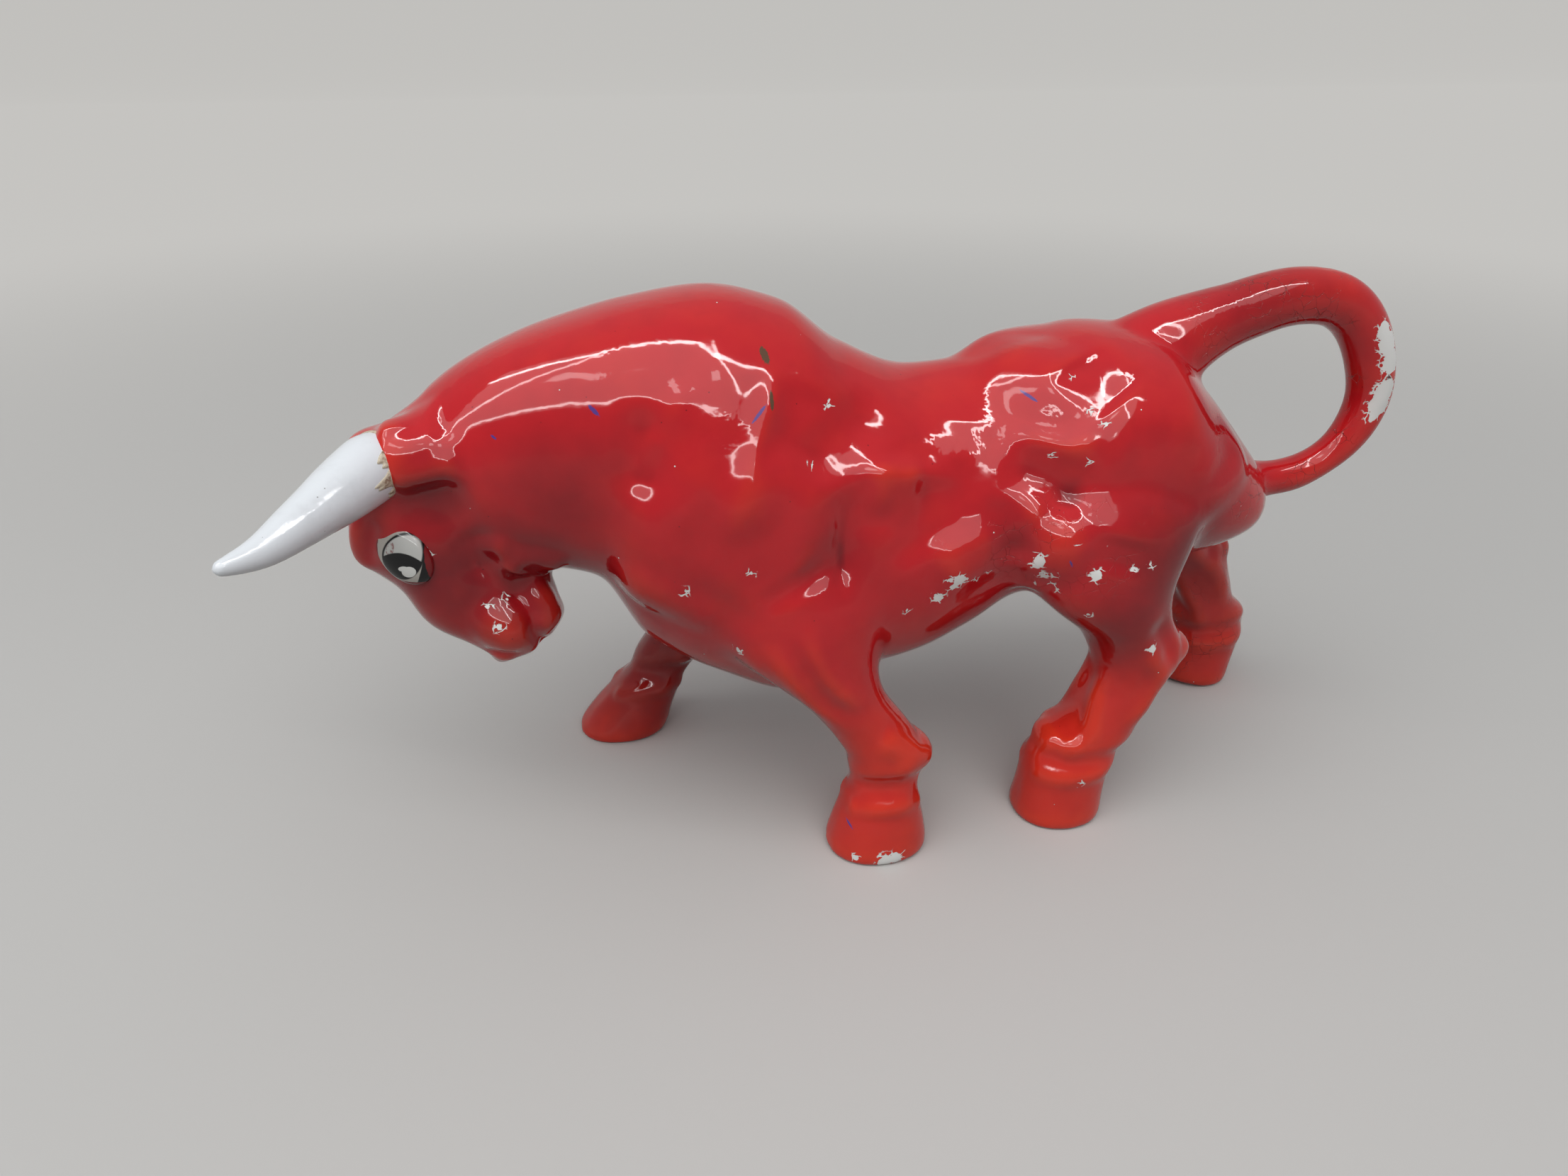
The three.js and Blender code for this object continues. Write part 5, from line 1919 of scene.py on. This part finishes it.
def closed_part(whole: bpy.types.Mesh, faces: np.ndarray, name: str) -> bpy.types.Mesh:
    """Takes some faces out of a mesh and closes them.

    Args:
        whole: The whole triangulated mesh.
        faces: The faces' numbers.
        name: The new mesh's name.

    Returns:
        A closed mesh whose outer faces keep the whole mesh's normals.
    """
    corners = Clay.read(whole.polygons, "vertices", 3, int)[faces]
    kept, renumbered = np.unique(corners, return_inverse=True)
    mesh = bpy.data.meshes.new(name)
    mesh.from_pydata(Clay.read(whole.vertices, "co", 3)[kept], [], renumbered.reshape(-1, 3))
    for layer in PAINTED:
        values = np.empty(len(whole.vertices), np.float32)
        whole.attributes[layer].data.foreach_get("value", values)
        set_numbers(mesh, layer, values[kept])
    piece = bmesh.new()
    piece.from_mesh(mesh)
    rims = [edge for edge in piece.edges if edge.is_boundary]
    skin = Clay.read(whole.vertex_normals, "vector", 3)[kept]
    for cap in bmesh.ops.holes_fill(piece, edges=rims, sides=0)["faces"]:
        lean = skin[[vert.index for vert in cap.verts]].mean(0)
        middle = bmesh.ops.poke(piece, faces=[cap])["verts"][0]
        middle.co -= Vector(lean) * CAP_DEPTH
    bmesh.ops.recalc_face_normals(piece, faces=piece.faces)
    for face in piece.faces:
        face.smooth = True
    piece.to_mesh(mesh)
    piece.free()
    normals = Clay.read(mesh.vertex_normals, "vector", 3)
    normals[: len(kept)] = skin
    mesh.normals_split_custom_set_from_vertices(normals)
    return mesh


@dataclass
class Horn:
    """A white horn with the cement that holds it.

    The line goes from inside the head to the tip, in the head's frame and for the right side.
    """

    side: Side
    head: Head
    path: tuple[Point, ...] = (
        (-1.5, 15.1, 0.7),
        (-1, 20, 7),
        (0.5, 38, 30.5),
        (0.6, 46.2, 41.2),
        (-2, 53.4, 50.6),
    )
    # Share of the length, and radius.
    taper: tuple[Row, ...] = (
        (0, 6),
        (0.08, 8.6),
        (0.16, 9.5),
        (0.32, 8.8),
        (0.5, 7.2),
        (0.7, 5.4),
        (0.86, 3.6),
        (0.95, 2.4),
        (0.985, 1.7),
        (1, 0.5),
    )
    rings: int = 120
    sides: int = 64
    # Shares of the length at which the cement starts and the horn leaves the head, and how far it spreads.
    hidden: float = 0.04
    root: float = 0.13
    smear: float = 0.1
    # Thickness of the cement, how much thinner its edge is, and its depth under the horn's surface.
    thick: float = 0.42
    thinning: float = 0.3
    sunk: float = 0.7
    around: int = 180
    steps: int = 8

    def line(self) -> np.ndarray:
        """The horn's middle, in the bull's frame."""
        local = np.array(self.path) * np.array([1, self.side.value, 1])
        return spline(self.head.place(local), 160)

    def skin(self, share: np.ndarray, angle: np.ndarray, lift: np.ndarray | float = 0.0) -> np.ndarray:
        """Places on the horn, or off it.

        Args:
            share: Shares of the horn's length, one for each place.
            angle: Angles round it from its upper side.
            lift: How far over the horn's surface the places lie.

        Returns:
            The places in the bull's frame, one row each.
        """
        line = self.line()
        at = np.linspace(0, 1, len(line))
        forward = np.gradient(line, axis=0)
        forward /= np.linalg.norm(forward, axis=1)[:, None]
        out = np.cross(forward, (0, 1, 0))
        out /= np.linalg.norm(out, axis=1)[:, None]
        over = np.cross(forward, out)
        middle, out, over = (
            np.stack([np.interp(share, at, rows[:, axis]) for axis in range(3)], axis=1)
            for rows in (line, out, over)
        )
        spread = np.cos(angle)[:, None] * out + np.sin(angle)[:, None] * over
        radius = Run(self.taper).at(share)[:, 0] + lift
        return middle + spread * radius[:, None]

    def build(self, glaze: bpy.types.Material, cement: bpy.types.Material) -> None:
        """Makes the horn and its cement, and dresses them.

        Args:
            glaze: The horn's finish.
            cement: The cement's finish.
        """
        shape = bmesh.new()
        angle = turn_angles(self.sides)
        shares = np.linspace(0, 1, self.rings)
        loft(shape, np.array([self.skin(np.full(self.sides, share), angle) for share in shares]))
        name = f"horn_{self.side.word}"
        attach(placed(shape, f"white_{name}"), Slot.WHITE, glaze, name)
        self.build_cement(cement)

    def build_cement(self, cement: bpy.types.Material) -> None:
        """Makes the cement, which lies thin and ragged on the horn where it leaves the head.

        Args:
            cement: The cement's finish.
        """
        angle = turn_angles(self.around)
        rim = self.skin(np.full(self.around, self.root), angle)
        out = rim - rim.mean(0)
        out /= np.linalg.norm(out, axis=1)[:, None]
        above = smoothstep(out @ np.array([0.75, 0.55 * self.side.value, 0.36]), 0.8, 0.98)
        below = smoothstep(out @ np.array([0.75, 0.5 * self.side.value, -0.43]), 0.75, 0.98)
        rag = 0.35 * np.sin(11 * angle) + 0.25 * np.sin(23 * angle + 1) + 0.2 * np.sin(37 * angle + 2)
        edge = self.root - 0.05 + self.smear * (1.2 * above + 1.3 * below + 0.3 * rag * (above + below))
        rings = np.empty((self.around, 2 * self.steps, 3))
        for k, share in enumerate(np.linspace(0, 1, self.steps)):
            place = self.hidden + (edge - self.hidden) * share
            rings[:, k] = self.skin(place, angle, self.thick - self.thinning * share**2)
            rings[:, -1 - k] = self.skin(place, angle, -self.sunk)
        shape = bmesh.new()
        loft(shape, rings, endless=True)
        name = f"horn_cement_{self.side.word}"
        attach(placed(shape, f"cement_smear_{self.side.word}"), Slot.CEMENT, cement, name)


@dataclass
class Eye:
    """A painted eye button set in the side of the head."""

    side: Side
    head: Head
    length: float = 19.6
    width: float = 15
    thickness: float = 7
    proud: float = 1.0
    along: float = 23.7
    out: float = 16.8
    tilt: float = 30
    # From the iris's middle to its edge, right and down as seen from the side, along the eye and across it.
    right_edge: tuple[float, float] = (3.25, -5.35)
    lower_edge: tuple[float, float] = (5.25, 5.0)
    iris: tuple[float, float] = (0, -0.7)

    def paint(self, mesh: bpy.types.Mesh, local: np.ndarray) -> None:
        """Keeps on the eye's points where they lie from the iris's middle.

        Args:
            mesh: The eye's mesh.
            local: Its points along the eye, through it and across it.
        """
        (a, b), (c, d) = self.right_edge, self.lower_edge
        u, v = local[:, 0] - self.iris[0], local[:, 2] - self.iris[1]
        whole = a * d - b * c
        set_numbers(mesh, "eye_right", (d * u - c * v) / whole)
        set_numbers(mesh, "eye_down", (a * v - b * u) / whole)

    def build(self, glaze: bpy.types.Material) -> None:
        """Makes the eye and paints it.

        Args:
            glaze: The eye's finish.
        """
        centre = self.head.half_at(self.along, self.out) + self.proud - self.thickness / 2
        shape = bmesh.new()
        bmesh.ops.create_uvsphere(shape, u_segments=96, v_segments=64, radius=1.0)
        bmesh.ops.rotate(shape, verts=shape.verts, matrix=Matrix.Rotation(math.pi / 2, 3, "X"))
        scale = (self.length / 2, self.thickness / 2, self.width / 2)
        bmesh.ops.scale(shape, vec=scale, verts=shape.verts)
        local = np.array([v.co for v in shape.verts])
        turn = Matrix.Rotation(self.side.value * math.radians(self.tilt), 3, "X")
        on_head = local @ np.array(turn).T + np.array([self.along, self.side.value * centre, self.out])
        for vert, place in zip(shape.verts, self.head.place(on_head)):
            vert.co = place
        piece = placed(shape, f"painted_eye_{self.side.word}")
        self.paint(piece.data, local)
        attach(piece, Slot.EYE, glaze, f"eye_{self.side.word}")


@dataclass(frozen=True)
class Lamp:
    """A rectangular lamp that faces the bull.

    The azimuth goes from the bull's left side towards its tail, and lengths are metres. A lamp that doesn't
    light the scene is seen in the glaze alone.
    """

    name: str
    azimuth: float
    elevation: float
    distance: float
    wide: float
    tall: float
    glow: float
    lights: bool = True

    def hang(self) -> None:
        """Hangs the lamp."""
        data = bpy.data.lights.new(self.name, "AREA")
        data.shape = "RECTANGLE"
        data.size, data.size_y = self.wide, self.tall
        data.energy = self.glow * math.pi * self.wide * self.tall
        a, e = math.radians(self.azimuth), math.radians(self.elevation)
        back = Vector((math.sin(a) * math.cos(e), -math.cos(a) * math.cos(e), math.sin(e)))
        item = bpy.data.objects.new(self.name, data)
        item.location = back * self.distance + Vector((0, 0, 0.08))
        item.rotation_euler = back.to_track_quat("Z", "Y").to_euler()
        item.visible_diffuse = self.lights
        bpy.context.scene.collection.objects.link(item)


@dataclass
class Studio:
    """The floor, the lamps and the camera of the photograph."""

    camera: Point = (-82.0, -316.5, 250.0)
    pitch: float = 28.33
    yaw: float = 10.55
    lens: float = 25.0
    sensor: float = 36.0
    horizon: float = 0.5
    walls: float = 0.27
    ceiling: float = 0.66
    # The floor's half width, front edge, back edge and curve up into the wall, and the wall's top, in metres.
    floor_half: float = 5.0
    floor_front: float = -4.0
    floor_back: float = 3.2
    sweep: float = 1.2
    wall_top: float = 4.0
    lamps: tuple[Lamp, ...] = (
        Lamp("soft_box", -27, 57, 1.6, 2.9, 1.5, 1.75),
        Lamp("upper_strip", -22, 80, 1.6, 2.9, 0.07, 26, False),
        Lamp("lower_strip", -27, 34.5, 1.6, 2.4, 0.05, 14, False),
        Lamp("right_strip", 27, 58, 1.6, 0.06, 1.3, 20, False),
        Lamp("left_strip", -76, 52, 1.6, 0.05, 1.1, 14, False),
        Lamp("left_bulb", -48, 56, 1.5, 0.5, 0.14, 5, False),
        Lamp("right_bulb", 2, 56, 1.5, 0.2, 0.26, 5, False),
    )

    def build(self) -> None:
        """Sets the stage."""
        self.lay_floor()
        self.hang_lamps()
        self.set_camera()
        bpy.context.scene.view_settings.view_transform = "Standard"

    def lay_floor(self) -> None:
        """Makes the floor, which curves up into a backdrop."""
        shape = bmesh.new()
        ends = [(-self.floor_half, self.floor_front, 0), (self.floor_half, self.floor_front, 0)]
        edge = shape.edges.new([shape.verts.new(end) for end in ends])
        profile = [(self.floor_back, 0.0)]
        for angle in np.linspace(0.1, math.pi / 2, 12):
            rise = self.sweep - self.sweep * math.cos(angle)
            profile.append((self.floor_back + self.sweep * math.sin(angle), rise))
        profile.append((self.floor_back + self.sweep, self.wall_top))
        y, z = self.floor_front, 0.0
        for next_y, next_z in profile:
            made = bmesh.ops.extrude_edge_only(shape, edges=[edge])["geom"]
            verts = [item for item in made if isinstance(item, bmesh.types.BMVert)]
            edge = next(item for item in made if isinstance(item, bmesh.types.BMEdge))
            bmesh.ops.translate(shape, verts=verts, vec=(0, next_y - y, next_z - z))
            y, z = next_y, next_z
        floor = new_object("floor", rounded(shape, "floor"))
        floor.data.materials.append(FloorPaint().material())

    def hang_lamps(self) -> None:
        """Hangs the lamps and lights the room, more from above than from its walls."""
        for lamp in self.lamps:
            lamp.hang()
        world = bpy.data.worlds.new("room")
        world.use_nodes = True
        tree = world.node_tree
        back = tree.nodes["Background"]
        height = tree.nodes.new("ShaderNodeSeparateXYZ")
        tree.links.new(tree.nodes.new("ShaderNodeTexCoord").outputs["Generated"], height.inputs[0])
        fade = tree.nodes.new("ShaderNodeValToRGB")
        fade.color_ramp.interpolation = "B_SPLINE"
        stops = fade.color_ramp.elements
        stops[0].position, stops[1].position = 0.0, 1.0
        for stop, level in ((stops[0], self.horizon), (stops.new(0.4), self.walls), (stops[2], self.ceiling)):
            stop.color = (0.95 * level, 0.97 * level, level, 1)
        tree.links.new(height.outputs["Z"], fade.inputs["Fac"])
        tree.links.new(fade.outputs["Color"], back.inputs["Color"])
        bpy.context.scene.world = world

    def set_camera(self) -> None:
        """Sets the camera where the photograph was taken."""
        data = bpy.data.cameras.new("camera")
        data.sensor_width = self.sensor
        data.lens = self.lens
        item = bpy.data.objects.new("camera", data)
        item.location = (Vector(self.camera) + SHIFT) * MM
        item.rotation_euler = Euler((math.radians(90 - self.pitch), 0, -math.radians(self.yaw)))
        bpy.context.scene.collection.objects.link(item)
        bpy.context.scene.camera = item


LEGS = (
    Leg(
        "leg_front_left",
        Side.LEFT,
        FRONT,
        ((0, 0.5), (19, 1.8), (34, 3.5), (44, -1.5), (55, -9.5), (66, -17.5), (78, -23.5), (112, -24)),
    ),
    Leg(
        "leg_front_right",
        Side.RIGHT,
        FRONT,
        ((0, -80), (9, -75.5), (19, -69), (34, -59), (44, -53), (66, -41), (112, -32)),
    ),
    Leg(
        "leg_rear_left",
        Side.LEFT,
        REAR,
        (
            (0, 66.8),
            (21, 69.3),
            (30, 73.8),
            (39, 81.3),
            (50, 86.3),
            (57, 89.8),
            (65, 88),
            (71, 84),
            (79, 77.5),
            (90, 73),
            (122, 73),
        ),
    ),
    Leg(
        "leg_rear_right",
        Side.RIGHT,
        REAR,
        ((0, 156.5), (21, 160), (30, 159.5), (39, 155.5), (50, 151.5), (65, 140.5), (90, 118), (122, 106)),
    ),
)

# Chips by place on the left side: lengthways, height and radius.
CHIP_PLACES = {
    "belly": (
        (23.5, 96.7, 2.2), (25.5, 97.6, 1.2), (19, 96.5, 1.0), (21, 94.2, 1.2), (17.3, 90.7, 1.7),
        (29, 95, 0.3), (33, 97.2, 0.0), (8, 87, 0.4),
    ),
    "thigh and hock": (
        (45, 102.7, 1.9), (43.5, 100.8, 0.6), (47.2, 96.8, 1.1), (50.4, 97, 0.4), (50.4, 94, 0.4),
        (47, 92, 0.0), (52, 92, 0.5), (57, 110, 0.0), (62.5, 99.4, 1.7), (61.8, 83.8, 0.4), (81, 101, 0.4),
        (74, 101, 0.2), (88, 69, 1.4),
    ),
    "ribs and blade": ((-15, 151, 0.8), (-22, 137, 0.3)),
    "chest": ((-46, 80, 1.0), (-59, 101, 0.9), (-42, 108, 0.5)),
    "muzzle and eye": ((-113, 89, 0.9), (-117, 94, 0.7), (-110, 95, 0.7), (-131, 113, 0.5)),
    "hip": ((60, 130, 0.5), (50, 131, 0.3), (65, 142, 0.6), (63, 145, 0.3), (60, 153, 0.2)),
    "hooves": ((1, 3.2, 2.6), (4.5, 3.5, 2.4), (-10.5, 2.5, 0.9), (69, 18, 0.5)),
    "tail": (
        (174, 157, 3.0), (178, 152, 4.2), (181, 146, 4.2), (177, 144.5, 1.6), (181, 134, 4.0),
        (180, 129.5, 4.0), (177.5, 125, 1.6),
    ),
}
CHIPS = tuple(Chip(*row) for rows in CHIP_PLACES.values() for row in rows)

BODY_MARKS = (
    Mark((-82, -31, 154), (-80, -31, 152), 0.6),
    Mark((14, -31, 140), (18, -31, 139)),
    Mark((43, -24, 149), (48, -26, 146), 0.5),
    Mark((-39, -37, 149), (-35, -36, 153)),
    Mark((-12, -50, 16), (-10, -50, 13)),
    Mark((-109, -28, 146), (-108, -28, 145)),
    Mark((-143, -7, 142), (-141, -8, 142)),
    Mark((54, -47, 104), (55, -47, 102)),
    Mark((-34, -26, 166), (-33, -28, 163), 1.1, Ink.GREEN),
    Mark((-33, -34, 156), (-33, -36, 152), 0.6, Ink.GREEN),
    Mark((179.5, -6, 141), (181.5, -6, 137), 1.1, Ink.BLACK),
    Mark((182, -5, 137), (183, -5, 135), 0.7, Ink.BLACK),
)

HORN_MARKS = (
    Mark((-152, -43, 141.5), (-152, -43, 137.8), 0.4, Ink.SKY),
    Mark((-150, -41, 147.5), (-148.7, -40, 148), 0.35, Ink.BLUE),
    Mark((-151, -41, 145), (-149.8, -40, 145.4), 0.35, Ink.BLUE),
    Mark((-162, -53, 119), (-160.5, -52, 119.5), 0.4, Ink.BLACK),
)

# Painted shade: the glaze darkened under the head and neck, behind the thigh and on the far legs, partly
# standing for the head's darker maroon glaze.
PAINTED_SHADE_WASHES = (
    ShadeWash((-124, -26, 103), 19, 0.8),
    ShadeWash((-107, -26, 98), 14, 0.75),
    ShadeWash((-100, -20, 108), 17, 0.7),
    ShadeWash((-128, -25, 127), 10, 0.8),
    ShadeWash((-92, -33, 128), 16, 0.5),
    ShadeWash((-80, -25, 100), 16, 0.5),
    ShadeWash((-140, -20, 92), 12, 0.4),
    ShadeWash((-70, 35, 40), 38, 0.75),
    ShadeWash((150, 32, 50), 40, 0.35),
    ShadeWash((92, -42, 98), 20, 0.85),
    ShadeWash((78, -46, 80), 14, 0.7),
    ShadeWash((40, -36, 108), 9, 0.6),
    ShadeWash((-14, -44, 108), 9, 0.4),
    ShadeWash((128, -9, 168), 20, 0.45),
    ShadeWash((112, -22, 128), 14, 0.4),
)


def main() -> None:
    """Builds the bull and its stage."""
    logging.basicConfig(level=logging.INFO, format="%(message)s")
    torso, head = Torso(), Head()
    ears = tuple(Ear(side, head) for side in Side)
    Body(torso, head, Tail(), Sheath(torso), ears, LEGS, CHIPS).build()
    white, cement, eye = WhiteGlaze().material(), Cement().material(), EyeGlaze().material()
    for side in Side:
        Horn(side, head).build(white, cement)
        Eye(side, head).build(eye)
    Studio().build()


if __name__ == "__main__":
    main()
